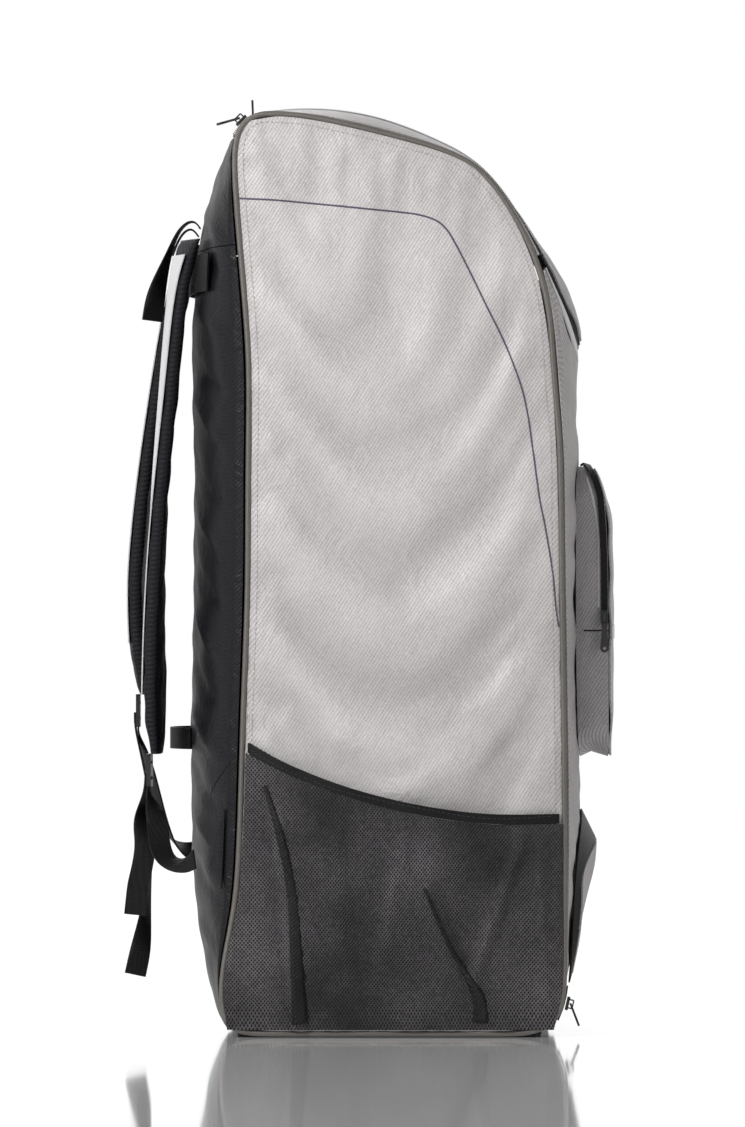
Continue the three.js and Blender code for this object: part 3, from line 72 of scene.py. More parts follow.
# Lid zip: place along the seam, by x on the top or by z on the brow, and half
# width as a share of half of WIDTH
LID_ZIP = [
    ("x", -0.451, 0.72), ("x", -0.385, 0.72), ("x", -0.255, 0.73), ("x", -0.06, 0.76),
    ("x", 0.14, 0.83), ("x", 0.262, 0.88), ("z", 0.89, 0.905), ("z", 0.845, 0.91),
    ("z", 0.818, 0.9), ("z", 0.798, 0.86), ("z", 0.78, 0.77), ("z", 0.763, 0.6),
    ("z", 0.754, 0.38), ("z", 0.75, 0.14),
]

# Creases of the side panels: place and length as shares of DEPTH, width and
# height of the crease in metres, and its lean in degrees
CREASES = [
    (-0.35, 0.80, 0.17, 0.011, -18, 0.0035), (-0.36, 0.755, 0.13, 0.010, 12, -0.003),
    (-0.33, 0.70, 0.16, 0.012, -22, 0.003), (-0.35, 0.63, 0.14, 0.010, 16, -0.0035),
    (-0.32, 0.57, 0.17, 0.012, -16, 0.003), (-0.36, 0.50, 0.15, 0.010, 22, -0.003),
    (-0.34, 0.43, 0.18, 0.013, -30, 0.004), (-0.30, 0.36, 0.22, 0.013, -34, -0.0045),
    (-0.36, 0.33, 0.14, 0.010, 30, 0.003), (-0.14, 0.33, 0.2, 0.014, -22, 0.003),
    (0.10, 0.52, 0.22, 0.018, 24, -0.003), (0.24, 0.50, 0.2, 0.013, 34, 0.0035),
    (0.30, 0.44, 0.18, 0.012, 28, -0.004), (0.36, 0.39, 0.16, 0.011, 40, 0.0035),
    (0.22, 0.36, 0.24, 0.013, 22, 0.003), (0.34, 0.31, 0.18, 0.012, 34, -0.004),
    (0.12, 0.28, 0.2, 0.012, 14, 0.003), (0.40, 0.56, 0.12, 0.010, 46, 0.003),
    (0.41, 0.66, 0.12, 0.010, 58, -0.003), (0.38, 0.74, 0.14, 0.011, 64, 0.003),
    (-0.02, 0.66, 0.3, 0.03, 38, -0.0025), (0.12, 0.78, 0.3, 0.032, 52, 0.0025),
    (-0.2, 0.88, 0.22, 0.02, -12, 0.002), (0.02, 0.44, 0.3, 0.02, -14, 0.0025),
]

# Wrinkles of the black back, from its ridge down to the side seam: height as a
# share of SEAM_HEIGHT, how far it drops, and its size in metres
BACK_WRINKLES = [
    (0.90, 0.05, 0.0030), (0.865, 0.06, -0.0025), (0.80, 0.07, 0.0030),
    (0.745, 0.09, -0.0035), (0.70, 0.10, 0.0040), (0.635, 0.11, -0.0030),
    (0.585, 0.10, 0.0042), (0.52, 0.10, -0.0035), (0.47, 0.11, 0.0038),
    (0.41, 0.10, -0.0032), (0.36, 0.10, 0.0042), (0.30, 0.09, -0.0035),
    (0.25, 0.08, 0.0035), (0.19, 0.06, -0.0030), (0.12, 0.05, 0.0030),
]

# Thin line across the side panels, as x and z in metres
ACCENT_LINE = [
    (-0.1565, 0.8535), (-0.119, 0.8514), (-0.064, 0.8463), (-0.0188, 0.8418),
    (0.0081, 0.8392), (0.0284, 0.8362), (0.0457, 0.8301), (0.0559, 0.8209),
    (0.064, 0.8077), (0.0803, 0.7762), (0.0975, 0.7407), (0.1118, 0.7122),
    (0.124, 0.6827), (0.1351, 0.6482), (0.1504, 0.5456), (0.1554, 0.5212),
    (0.1636, 0.4714), (0.1672, 0.4318), (0.170, 0.416),
]

# Middle of the side pocket's hem, the tape inside the big pocket's zip, and the
# curved seam low on the back, as x and z in metres
HEM_LINE = [
    (-0.144, 0.2955), (-0.107, 0.2755), (-0.052, 0.255), (0.009, 0.241), (0.0965, 0.2266),
    (0.166, 0.2285),
]
POCKET_TAPE = [
    (0.1995, 0.571), (0.2062, 0.5466), (0.2108, 0.518), (0.2118, 0.47), (0.212, 0.436),
]
BACK_SEAM = [
    (-0.1646, 0.2804), (-0.178, 0.262), (-0.188, 0.2418), (-0.196, 0.22), (-0.2022, 0.1971),
]

# Dark strips laid on the side pockets' mesh: x, z and half width in metres
DARK_STRIPS = [
    [(-0.129, 0.256, 0.0022), (-0.1158, 0.2134, 0.004), (-0.1016, 0.1473, 0.0055),
     (-0.0965, 0.07, 0.0075), (-0.0935, 0.012, 0.0088)],
    [(0.033, 0.152, 0.0015), (0.056, 0.098, 0.002), (0.078, 0.06, 0.004), (0.0895, 0.036, 0.007),
     (0.0895, 0.012, 0.0085)],
]


def catmull(rows, closed, steps):
    """Points of a centripetal spline through the rows."""
    points = np.array(rows, dtype=float)
    count = len(points)
    result = []
    for i in range(count if closed else count - 1):
        if closed:
            p = [points[(i + k - 1) % count] for k in range(4)]
        else:
            p = [points[min(max(i + k - 1, 0), count - 1)] for k in range(4)]
            if i == 0:
                p[0] = 2 * p[1] - p[2]
            if i == count - 2:
                p[3] = 2 * p[2] - p[1]
        gaps = [max(float(np.linalg.norm(p[k + 1] - p[k])) ** 0.5, 1e-6) for k in range(3)]
        a, b, c = gaps
        first = ((p[1] - p[0]) / a - (p[2] - p[0]) / (a + b) + (p[2] - p[1]) / b) * b
        last = ((p[2] - p[1]) / b - (p[3] - p[1]) / (b + c) + (p[3] - p[2]) / c) * b
        for k in range(steps):
            t = k / steps
            result.append(
                p[1]
                + first * t
                + (-3 * p[1] + 3 * p[2] - 2 * first - last) * t**2
                + (2 * p[1] - 2 * p[2] + first + last) * t**3
            )
    result.append(points[0] if closed else points[-1])
    return np.array(result)


# Seam samples: x, crown and z, and the length along it
SEAM = catmull(
    [(x * DEPTH, crown * WIDTH, SEAM_FLOOR + z * SEAM_HEIGHT) for x, z, crown in OUTLINE], True, 12
)
SEAM_S = np.concatenate([[0], np.cumsum(np.hypot(np.diff(SEAM[:, 0]), np.diff(SEAM[:, 2])))])
SEAM_LENGTH = SEAM_S[-1]
TOP = int(np.argmax(SEAM[:, 2]))
BASE_SAMPLES = 30  # samples at the end of the seam that lie along the base
TOP_SAMPLES = 150  # samples over the top, from TOP_START of SEAM_HEIGHT on
TOP_START = 0.96
TANGENT = 0.006  # half the stretch that gives the seam's direction
BLOCK = 20000  # points handled at a time


def seam(s):
    """x, z, crown and outward normal of the seam at lengths s."""
    s = np.mod(np.asarray(s, dtype=float), SEAM_LENGTH)

    def at(key, where):
        return np.interp(np.mod(where, SEAM_LENGTH), SEAM_S, SEAM[:, key])

    dx = at(0, s + TANGENT) - at(0, s - TANGENT)
    dz = at(2, s + TANGENT) - at(2, s - TANGENT)
    run = np.hypot(dx, dz) + 1e-9
    return at(0, s), at(2, s), at(1, s), -dz / run, dx / run


def shell(s, y, out=0.0):
    """Places on the wrapped cloth, out metres proud of it."""
    x, z, crown, nx, nz = seam(s)
    share = np.clip(np.abs(y) / (WIDTH / 2), 0, 1)
    angle = np.arcsin(share ** (ROUNDNESS / 2))
    rise = crown * np.maximum(np.cos(angle), 0) ** (2 / ROUNDNESS) + out
    return np.stack([x + nx * rise, np.broadcast_to(y, np.shape(x)) + 0 * x, z + nz * rise], -1)


def front_at(z):
    """Length along the seam at which the front reaches a height."""
    rows = slice(TOP, len(SEAM) - BASE_SAMPLES)
    return float(np.interp(-z, -SEAM[rows, 2], SEAM_S[rows]))


def top_at(x):
    """Length along the seam at which the top reaches a place."""
    start = int(np.argmax(SEAM[:, 2] >= SEAM_FLOOR + TOP_START * SEAM_HEIGHT))
    rows = slice(start, start + TOP_SAMPLES)
    order = np.argsort(SEAM[rows, 0])
    return float(np.interp(x, SEAM[rows, 0][order], SEAM_S[rows][order]))


def along_seam(kind, at):
    """Length along the seam of a row of LID_ZIP."""
    return top_at(at * DEPTH) if kind == "x" else front_at(SEAM_FLOOR + at * SEAM_HEIGHT)


# One arm of the lid's zip: length along the seam, and distance from the middle
ARM = catmull([(along_seam(kind, at), half * WIDTH / 2) for kind, at, half in LID_ZIP], False, STEPS)


def near_seam(points):
    """Length along the seam and distance from it, seen from the side."""
    s = np.empty(len(points))
    d = np.empty(len(points))
    for i in range(0, len(points), BLOCK):
        block = points[i : i + BLOCK]
        gap = np.hypot(
            block[:, 0, None] - SEAM[None, :-1, 0], block[:, 2, None] - SEAM[None, :-1, 2]
        )
        best = gap.argmin(1)
        s[i : i + BLOCK] = SEAM_S[best]
        d[i : i + BLOCK] = gap[np.arange(len(block)), best]
    return s, d


def ripples(a, b, size, seed, stretch=1.0):
    """Soft uneven relief of about one unit, from crossing waves."""
    rng = np.random.default_rng(seed)
    total = np.zeros(len(a))
    for _ in range(9):
        turn = rng.uniform(0, math.pi)
        wave = size * rng.uniform(0.6, 1.7)
        phase = rng.uniform(0, 2 * math.pi)
        bend = 0.8 * np.sin(a / (size * 2.3) + phase * 3) + 0.8 * np.sin(b / (size * 2.9) - phase)
        across = a * math.cos(turn) + b * stretch * math.sin(turn)
        total += np.sin(across * 2 * math.pi / wave + phase + bend)
    return total / 4.5


# Mesh helpers
def vertices(mesh):
    co = np.empty(len(mesh.vertices) * 3)
    mesh.vertices.foreach_get("co", co)
    return co.reshape(-1, 3)


def set_vertices(mesh, co):
    mesh.vertices.foreach_set("co", np.ascontiguousarray(co).reshape(-1))
    mesh.update()


def link(name, mesh):
    obj = bpy.data.objects.new(name, mesh)
    bpy.context.scene.collection.objects.link(obj)
    return obj


def fine(node, levels, sharp=40):
    """A smooth, finely divided copy of a CAD node, with its corners kept."""
    mesh = NODES[node].data.copy()
    bm = bmesh.new()
    bm.from_mesh(mesh)
    bmesh.ops.remove_doubles(bm, verts=bm.verts, dist=2e-5)
    bmesh.ops.join_triangles(
        bm,
        faces=bm.faces,
        angle_face_threshold=math.radians(22),
        angle_shape_threshold=math.radians(60),
    )
    crease = bm.edges.layers.float.new("crease_edge")
    for edge in bm.edges:
        if len(edge.link_faces) == 2 and edge.calc_face_angle(0) > math.radians(sharp):
            edge[crease] = 1.0
    bm.to_mesh(mesh)
    bm.free()
    mesh.materials.clear()
    obj = link(node + "_cloth", mesh)
    if levels:
        modifier = obj.modifiers.new("Fine", "SUBSURF")
        modifier.levels = levels
        modifier.render_levels = levels
        settle(obj)
    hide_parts(node)
    return obj


def settle(obj):
    """Applies an object's modifiers to its mesh."""
    graph = bpy.context.evaluated_depsgraph_get()
    mesh = bpy.data.meshes.new_from_object(obj.evaluated_get(graph))
    old = obj.data
    obj.modifiers.clear()
    obj.data = mesh
    bpy.data.meshes.remove(old)


def shade_smooth(obj):
    obj.data.polygons.foreach_set("use_smooth", [True] * len(obj.data.polygons))


def smooth_by_angle(obj, degrees=42):
    shade_smooth(obj)
    bm = bmesh.new()
    bm.from_mesh(obj.data)
    for edge in bm.edges:
        edge.smooth = edge.calc_face_angle(0) < math.radians(degrees)
    bm.to_mesh(obj.data)
    bm.free()


def lay_flat(obj, a, b, shade=None):
    """Stores flat coordinates of the cloth, in metres, for its weave, and its painted shade and highlight."""
    values = np.ones(len(a)) if shade is None else np.clip(shade, 0, 1.2)
    attribute = obj.data.attributes.new("shade", "FLOAT", "POINT")
    attribute.data.foreach_set("value", values.astype(np.float32))
    layer = obj.data.uv_layers.new(name="flat")
    index = np.empty(len(obj.data.loops), dtype=np.int64)
    obj.data.loops.foreach_get("vertex_index", index)
    layer.data.foreach_set("uv", np.stack([a[index], b[index]], -1).reshape(-1))


def dress(obj, material):
    """Gives a piece its material and slot, and lets it ride on the bag."""
    obj.data.materials.append(material)
    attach(obj, "bag")
    return obj


def finish_piece(obj, material):
    smooth_by_angle(obj)
    return dress(obj, material)


# Material helpers
def principled(name, **values):
    material = bpy.data.materials.new(name)
    material.use_nodes = True
    shader = material.node_tree.nodes["Principled BSDF"]
    for key, value in values.items():
        shader.inputs[key.replace("_", " ")].default_value = value
    return material, shader


def add_node(material, kind, inputs=None, **settings):
    node = material.node_tree.nodes.new("ShaderNode" + kind)
    for key, value in settings.items():
        setattr(node, key, value)
    for key, value in (inputs or {}).items():
        if isinstance(value, bpy.types.NodeSocket):
            material.node_tree.links.new(value, node.inputs[key])
        else:
            node.inputs[key].default_value = value
    return node


def shade_of(material):
    return add_node(material, "Attribute", attribute_name="shade").outputs["Fac"]


def math_node(material, operation, *values):
    node = material.node_tree.nodes.new("ShaderNodeMath")
    node.operation = operation
    for i, value in enumerate(values):
        if isinstance(value, bpy.types.NodeSocket):
            material.node_tree.links.new(value, node.inputs[i])
        else:
            node.inputs[i].default_value = value
    return node.outputs[0]


def mixed(material, a, share_a, b, share_b):
    """Sum of two values, each times its share."""
    rest = math_node(material, "MULTIPLY", b, share_b)
    return math_node(material, "MULTIPLY_ADD", a, share_a, rest)


def noise(material, scale, detail, **more):
    """Uneven grain fixed to the object, from 0 to 1."""
    place = add_node(material, "TexCoord").outputs["Object"]
    inputs = {"Vector": place, "Scale": scale, "Detail": detail, **more}
    return add_node(material, "TexNoise", inputs).outputs[0]


def bump(material, height, distance, strength):
    inputs = {"Height": height, "Distance": distance, "Strength": strength}
    return add_node(material, "Bump", inputs)


def flat_of(material):
    """Flat coordinates of the cloth, in metres."""
    return add_node(material, "UVMap", uv_map="flat").outputs[0]


def stripes(material, source, pitch, turn):
    """Even ridges across a direction, from 0 to 1."""
    turned = add_node(material, "VectorRotate", {"Vector": source, "Angle": math.radians(turn)})
    split = add_node(material, "SeparateXYZ", {"Vector": turned.outputs[0]})
    angle = math_node(material, "MULTIPLY", split.outputs[0], 2 * math.pi / pitch)
    return math_node(material, "MULTIPLY_ADD", math_node(material, "SINE", angle), 0.5, 0.5)


def ramp(material, factor, stops):
    node = add_node(material, "ValToRGB", {"Fac": factor})
    elements = node.color_ramp.elements
    while len(elements) < len(stops):
        elements.new(0.5)
    for element, (place, colour) in zip(elements, stops):
        element.position = place
        element.color = (*colour, 1)
    return node.outputs[0]


def colour_and_relief(material, shader, tone, stops, relief):
    """Colours a shader by tone and gives it a bump."""
    links = material.node_tree.links
    links.new(ramp(material, tone, stops), shader.inputs["Base Color"])
    links.new(relief.outputs[0], shader.inputs["Normal"])


def woven(name, dark, light, pitch=0.0024, turns=(32, -48), rough=0.6, sheen=0.3,
          raised=0.00022, creases=0.0, specular=0.5):
    """Cloth with a two-way weave, small slubs, uneven tone and fine creases."""
    material, shader = principled(
        name, Roughness=rough, Sheen_Weight=sheen, Sheen_Roughness=0.45,
        Specular_IOR_Level=specular,
    )
    flat = flat_of(material)
    first = stripes(material, flat, pitch, turns[0])
    second = stripes(material, flat, pitch * 0.92, turns[1])
    weave = mixed(material, first, 0.45, math_node(material, "MULTIPLY", first, second), 0.55)
    slubs = noise(material, 420.0, 3.0)
    patches = noise(material, 7.0, 5.0, Roughness=0.62)
    tone = mixed(material, weave, 0.30, slubs, 0.34)
    tone = math_node(material, "MULTIPLY_ADD", patches, 0.42, tone)
    # Painted shade and highlight stored on the piece darken or lift the tone
    tone = math_node(material, "MULTIPLY", tone, shade_of(material))
    relief = bump(material, weave, raised, 0.8)
    colour_and_relief(material, shader, tone, [(0.18, dark), (0.86, light)], relief)
    links = material.node_tree.links
    gloss = math_node(material, "MULTIPLY_ADD", slubs, 0.16, rough - 0.08)
    links.new(gloss, shader.inputs["Roughness"])
    if creases:
        fold = noise(material, 26.0, 4.0, Roughness=0.55, Distortion=0.9)
        ridge = math_node(material, "ABSOLUTE", math_node(material, "SUBTRACT", fold, 0.5))
        soft = bump(material, ridge, creases, 0.6)
        links.new(soft.outputs[0], relief.inputs["Normal"])
    return material


def ribbed(name, dark, light, pitch=0.0016):
    """Narrow webbing: strong ribs across its length and weak ones along it."""
    material, shader = principled(
        name, Roughness=0.62, Sheen_Weight=0.02, Sheen_Roughness=0.5, Specular_IOR_Level=0.2
    )
    flat = flat_of(material)
    across = stripes(material, flat, pitch, 90)
    along = stripes(material, flat, pitch * 1.6, 0)
    ribs = mixed(material, along, 0.35, across, 0.65)
    tone = mixed(material, noise(material, 300.0, 4.0), 0.5, ribs, 0.5)
    relief = bump(material, ribs, 0.0004, 0.9)
    colour_and_relief(material, shader, tone, [(0.2, dark), (0.85, light)], relief)
    return material


NET_PITCH = 0.0027
NET_TURN = 38


def netting(name, thread, hole):
    """Open mesh: raised diagonal threads over dark gaps, with glints."""
    material, shader = principled(
        name, Roughness=0.5, Sheen_Weight=0.02, Sheen_Roughness=0.4, Specular_IOR_Level=0.25
    )
    flat = flat_of(material)
    first = stripes(material, flat, NET_PITCH, NET_TURN)
    second = stripes(material, flat, NET_PITCH, -NET_TURN)
    threads = math_node(material, "POWER", math_node(material, "MAXIMUM", first, second), 3.0)
    drift = math_node(material, "MULTIPLY_ADD", noise(material, 9.0, 4.0), 1.7, -0.36)
    glints = math_node(material, "MULTIPLY_ADD", noise(material, 240.0, 3.0), 1.5, 0.25)
    tone = threads
    # Random tone, painted glints, and the painted shade and highlight stored on the piece
    for factor in (drift, glints, shade_of(material)):
        tone = math_node(material, "MULTIPLY", tone, factor)
    relief = bump(material, threads, 0.0006, 0.9)
    colour_and_relief(material, shader, tone, [(0.05, hole), (0.9, thread)], relief)
    return material


def moulded(name, colour, rough=0.38):
    """Hard plastic, or thread, with a fine grain."""
    material, shader = principled(name, Roughness=rough)
    grain = noise(material, 900.0, 2.0)
    low = tuple(c * 0.8 for c in colour)
    relief = bump(material, grain, 0.00008, 0.5)
    colour_and_relief(material, shader, grain, [(0.3, low), (0.7, colour)], relief)
    gloss = math_node(material, "MULTIPLY_ADD", grain, 0.2, rough - 0.1)
    material.node_tree.links.new(gloss, shader.inputs["Roughness"])
    return material


TWILL = 0.0031  # pitch of the silver cloth's weave
SILVER = woven(
    "silver_cloth", (0.24, 0.225, 0.222), (0.64, 0.615, 0.612),
    pitch=TWILL, rough=0.46, sheen=0.12, raised=0.0003, creases=0.005,
)
# Painted shade: a darker copy of the silver cloth, for the front, lid, gussets and low pocket's face
SHADED_SILVER = woven(
    "silver_front_shaded", (0.19, 0.178, 0.177), (0.52, 0.496, 0.496),
    pitch=TWILL, rough=0.6, sheen=0.01, raised=0.0003, creases=0.004, specular=0.15,
)
SHADED = woven(
    "pocket_cloth", (0.12, 0.113, 0.115), (0.46, 0.437, 0.441),
    pitch=TWILL, rough=0.5, sheen=0.1, raised=0.0003, creases=0.004,
)
BLACK = woven(
    "black_cloth", (0.001, 0.001, 0.0015), (0.009, 0.009, 0.012),
    rough=0.42, sheen=0.01, creases=0.0045, specular=0.2,
)
GUSSET = woven(
    "gusset_cloth", (0.001, 0.001, 0.0015), (0.009, 0.009, 0.011),
    rough=0.5, sheen=0.01, specular=0.2,
)
LIGHT = woven("light_tape", (0.40, 0.39, 0.40), (0.66, 0.65, 0.66), pitch=0.0014)
PAD = woven(
    "pad_mesh", (0.001, 0.001, 0.001), (0.013, 0.013, 0.018),
    pitch=0.0042, turns=(60, -60), raised=0.0008, sheen=0.01, specular=0.15,
)
NET = netting("pocket_net", (0.15, 0.14, 0.148), (0.0015, 0.0014, 0.0018))
DARK_NET = netting("dark_net", (0.03, 0.029, 0.03), (0.002, 0.002, 0.002))
WEBBING = ribbed("black_webbing", (0.001, 0.001, 0.0012), (0.009, 0.009, 0.0105))
ZIP = ribbed("zip_tape", (0.001, 0.001, 0.0012), (0.008, 0.008, 0.009), pitch=0.0012)
PIPING = woven(
    "piping_cloth", (0.06, 0.054, 0.048), (0.155, 0.14, 0.125),
    pitch=0.0012, rough=0.42, sheen=0.08,
)
HARD = moulded("black_plastic", (0.010, 0.010, 0.011))
THREAD_LIGHT = moulded("light_thread", (0.38, 0.36, 0.355), 0.55)
THREAD_BLACK = moulded("black_thread", (0.03, 0.03, 0.033), 0.5)


def crease_relief(x, z):
    """Height of the drawn creases of a side panel."""
    total = np.zeros(len(x))
    for cx, cz, length, width, lean, height in CREASES:
        lean = math.radians(lean)
        dx = x - cx * DEPTH
        dz = z - SEAM_FLOOR - cz * SEAM_HEIGHT
        along = (dx * math.cos(lean) + dz * math.sin(lean)) / (length * DEPTH * 0.7)
        across = (dz * math.cos(lean) - dx * math.sin(lean)) / width
        across += 0.5 * np.sin(along * 2.2 + cx * 30)
        total += height * np.exp(-(along**2) - across**2)
    return total


def inside_outline(x, z):
    """Whether points seen from the side lie within the seam."""
    result = np.zeros(len(x), dtype=bool)
    for (x0, z0), (x1, z1) in zip(SEAM[:-1, [0, 2]], SEAM[1:, [0, 2]]):
        if z0 == z1:
            continue
        crosses = (z0 > z) != (z1 > z)
        result ^= crosses & (x < x0 + (z - z0) * (x1 - x0) / (z1 - z0))
    return result


def blurred(grid, size):
    """A grid smoothed by a bell of the given size in cells."""
    reach = int(size * 3)
    bell = np.exp(-((np.arange(-reach, reach + 1) / size) ** 2) / 2)
    bell /= bell.sum()
    for axis in (0, 1):
        grid = np.apply_along_axis(lambda row: np.convolve(row, bell, "same"), axis, grid)
    return grid


CLOTH_STEP = 0.0065
CLOTH_FRAMES = 26
FOLD_LIMIT = 0.0042
BULGE = 7  # size of the bulge's blur, in cells of the grid


def hang_cloth():
    """Folds of a slightly loose panel, sewn in all round, as a grid of heights."""
    xs = np.arange(-0.176, 0.1775, CLOTH_STEP)
    zs = np.arange(0.008, 0.942, CLOTH_STEP)
    gx, gz = np.meshgrid(xs, zs, indexing="ij")
    points = np.column_stack([gx.ravel(), np.zeros(gx.size), gz.ravel()])
    used = inside_outline(points[:, 0], points[:, 2]) & (near_seam(points)[1] > 0.006)
    heights = np.zeros(gx.shape)
    used = used.reshape(gx.shape)
    points[:, 1] = 0.8 * crease_relief(points[:, 0], points[:, 2])
    points[:, 1] += 0.0012 * ripples(points[:, 0], points[:, 2], 0.06, 53)
    number = np.full(gx.shape, -1)
    number[used] = np.arange(used.sum())
    held = used.copy()
    held[1:-1, 1:-1] &= ~(
        used[:-2, 1:-1] & used[2:, 1:-1] & used[1:-1, :-2] & used[1:-1, 2:]
        & used[:-2, :-2] & used[2:, 2:] & used[:-2, 2:] & used[2:, :-2]
    )
    corners = np.stack([number[:-1, :-1], number[1:, :-1], number[1:, 1:], number[:-1, 1:]], -1).reshape(-1, 4)
    faces = corners[(corners >= 0).all(1)]
    mesh = bpy.data.meshes.new("hanging")
    mesh.from_pydata(points.reshape(-1, 3)[used.ravel()].tolist(), [], faces.tolist())
    panel = link("hanging", mesh)
    group = panel.vertex_groups.new(name="sewn")
    group.add([int(i) for i in number[held]], 1.0, "REPLACE")
    cloth = panel.modifiers.new("Cloth", "CLOTH")
    cloth.settings.vertex_group_mass = "sewn"
    cloth.settings.quality = 6
    cloth.settings.mass = 0.25
    cloth.settings.tension_stiffness = 18
    cloth.settings.compression_stiffness = 18
    cloth.settings.shear_stiffness = 6
    cloth.settings.bending_stiffness = 0.4
    cloth.settings.shrink_min = -0.011
    cloth.settings.effector_weights.gravity = 0.12
    cloth.collision_settings.use_collision = False
    cloth.point_cache.frame_start = 1
    cloth.point_cache.frame_end = CLOTH_FRAMES
    for frame_number in range(1, CLOTH_FRAMES + 1):
        bpy.context.scene.frame_set(frame_number)
    graph = bpy.context.evaluated_depsgraph_get()
    laid = panel.evaluated_get(graph).to_mesh()
    heights[used] = vertices(laid)[:, 1]
    bpy.data.objects.remove(panel)
    bpy.context.scene.frame_set(1)
    # The broad bulge goes, and the folds stay
    share = np.maximum(blurred(used.astype(float), BULGE), 0.2)
    heights = np.where(used, heights - blurred(heights, BULGE) / share, 0)
    return xs, zs, np.clip(heights, -FOLD_LIMIT, FOLD_LIMIT)


CLOTH = hang_cloth()


def cloth_relief(x, z):
    """Height of the simulated folds, between the grid's points."""
    xs, zs, grid = CLOTH
    u = np.clip((x - xs[0]) / CLOTH_STEP, 0, len(xs) - 1.001)
    v = np.clip((z - zs[0]) / CLOTH_STEP, 0, len(zs) - 1.001)
    i, j = u.astype(int), v.astype(int)
    u, v = u - i, v - j
    low = grid[i, j] * (1 - u) + grid[i + 1, j] * u
    high = grid[i, j + 1] * (1 - u) + grid[i + 1, j + 1] * u
    return low * (1 - v) + high * v


# Side panels, with creases that fan out from the sewn edges
def dress_side(node, sign):
    obj = fine(node, 3)
    co = vertices(obj.data)
    s, d = near_seam(co)
    x, z = co[:, 0].copy(), co[:, 2].copy()
    free = 1 - np.exp(-np.maximum(d - 0.006, 0) / 0.02)
    pucker = np.exp(-d / 0.022) * (1 - np.exp(-np.maximum(d - 0.005, 0) / 0.004))
    relief = (0.75 * crease_relief(x, z) + cloth_relief(x, z)) * free
    relief += 0.0008 * ripples(x, z, 0.075, 3) * free
    relief += 0.0022 * pucker * ripples(s, d * 0.35, 0.026, 5)
    co[:, 1] += sign * relief
    _, _, _, nx, nz = seam(s)
    reach = 0.0034 * np.exp(-np.maximum(d - 0.0048, 0) / 0.006)
    co[:, 0] += nx * reach
    co[:, 2] += nz * reach
    set_vertices(obj.data, co)
    # Painted shade in the creases and next to the seam, painted highlight on the ridges, and darker towards
    # the bottom
    low = np.clip((0.62 - z) / 0.6, 0, 1)
    rim = np.exp(-np.maximum(d - 0.004, 0) / 0.003)
    shade = 1.03 + 38 * np.clip(relief, -0.006, 0.003) - 0.3 * rim
    lay_flat(obj, x, z, shade - 0.13 * low)
    return finish_piece(obj, SILVER)


SIDE_NEAR = dress_side("side_panel_near", -1)
SIDE_FAR = dress_side("side_panel_far", 1)


# Cloth of the wrap, moved along the seam's normal
def dress_wrap(node, levels, relief, material, reach=False):
    obj = fine(node, levels)
    co = vertices(obj.data)
    s, _ = near_seam(co)
    # A smoother length along the seam than its nearest sample
    x, z, _, nx, nz = seam(s)
    s = s + (co[:, 0] - x) * nz - (co[:, 2] - z) * nx
    x, z, _, nx, nz = seam(s)
    out = (co[:, 0] - x) * nx + (co[:, 2] - z) * nz
    y = co[:, 1].copy()
    edge = np.clip((WIDTH / 2 - np.abs(y) - 0.002) / 0.02, 0, 1)
    move = relief(s, y, co) * edge
    co[:, 0] += nx * move
    co[:, 2] += nz * move
    if reach:
        side = WIDTH / 2 - np.abs(y)
        co[:, 1] += np.sign(y) * 0.0028 * np.exp(-np.maximum(side - 0.004, 0) / 0.005)
    set_vertices(obj.data, co)
    # Painted shade in the folds and painted highlight on the ridges, from how far the cloth moved
    lay_flat(obj, y + np.tanh(y / 0.03) * out, s, 1 + 30 * np.clip(move, -0.006, 0.003))
    return finish_piece(obj, material)


def back_relief(s, y, co):
    """Wrinkles that run from the middle ridge down to the side seams."""
    up = (co[:, 2] - SEAM_FLOOR) / SEAM_HEIGHT
    aside = np.abs(y) / (WIDTH / 2)
    begins = np.clip((aside - 0.25) / 0.3, 0, 1)
    ends = np.clip((1.02 - aside) / 0.2, 0, 1)
    total = 0.0012 * ripples(s, y, 0.06, 11)
    for i, (height, drop, size) in enumerate(BACK_WRINKLES):
        middle = height - drop * (aside - 0.35) + 0.004 * math.sin(i * 2.1) * np.sin(aside * 5 + i)
        band = np.exp(-(((up - middle) / 0.0095) ** 2))
        total += size * band * begins * ends
    return total


def panel_relief(s, y, co):
    return 0.0016 * ripples(s, y, 0.07, 17) + 0.0007 * ripples(s, y, 0.028, 19)


def still(s, y, co):
    """No folds: a narrow or tightly sewn piece."""
    return 0 * s


def pocket_relief(s, y, co):
    return 0.0012 * ripples(s, y, 0.045, 29)


BACK = dress_wrap("back_panel", 3, back_relief, BLACK, True)
YOKE = dress_wrap("back_yoke", 3, back_relief, BLACK, True)
FRONT = dress_wrap("front_panel", 3, panel_relief, SHADED_SILVER, True)
LID = dress_wrap("lid", 3, panel_relief, SHADED_SILVER)
WRAPS = [BACK, YOKE, FRONT, LID]
for side in ("near", "far"):
    WRAPS.append(dress_wrap("gusset_" + side, 2, still, SHADED_SILVER, True))
    dress_wrap("anchor_wing_" + side, 2, still, BLACK)
dress_wrap("base_panel", 1, still, BLACK)
LID_ZIP_PIECE = dress_wrap("lid_zip", 2, still, ZIP)
dress_wrap("lid_zip_band", 2, still, LIGHT)
dress_wrap("strap_anchor_band", 2, still, WEBBING)
BOX = dress_wrap("front_pocket_gusset", 3, still, SHADED)
dress_wrap("front_pocket_zip", 2, still, ZIP)
dress_wrap("front_pocket_band", 2, still, LIGHT)
BOX_FACE = dress_wrap("front_pocket_face", 3, pocket_relief, SHADED)
LOW_HOOD = dress_wrap("low_pocket_gusset", 2, still, GUSSET)
LOW_FACE = dress_wrap("low_pocket_face", 3, pocket_relief, SHADED_SILVER)
dress_wrap("low_zip", 1, still, ZIP)
WRAPS += [BOX_FACE, LOW_FACE]


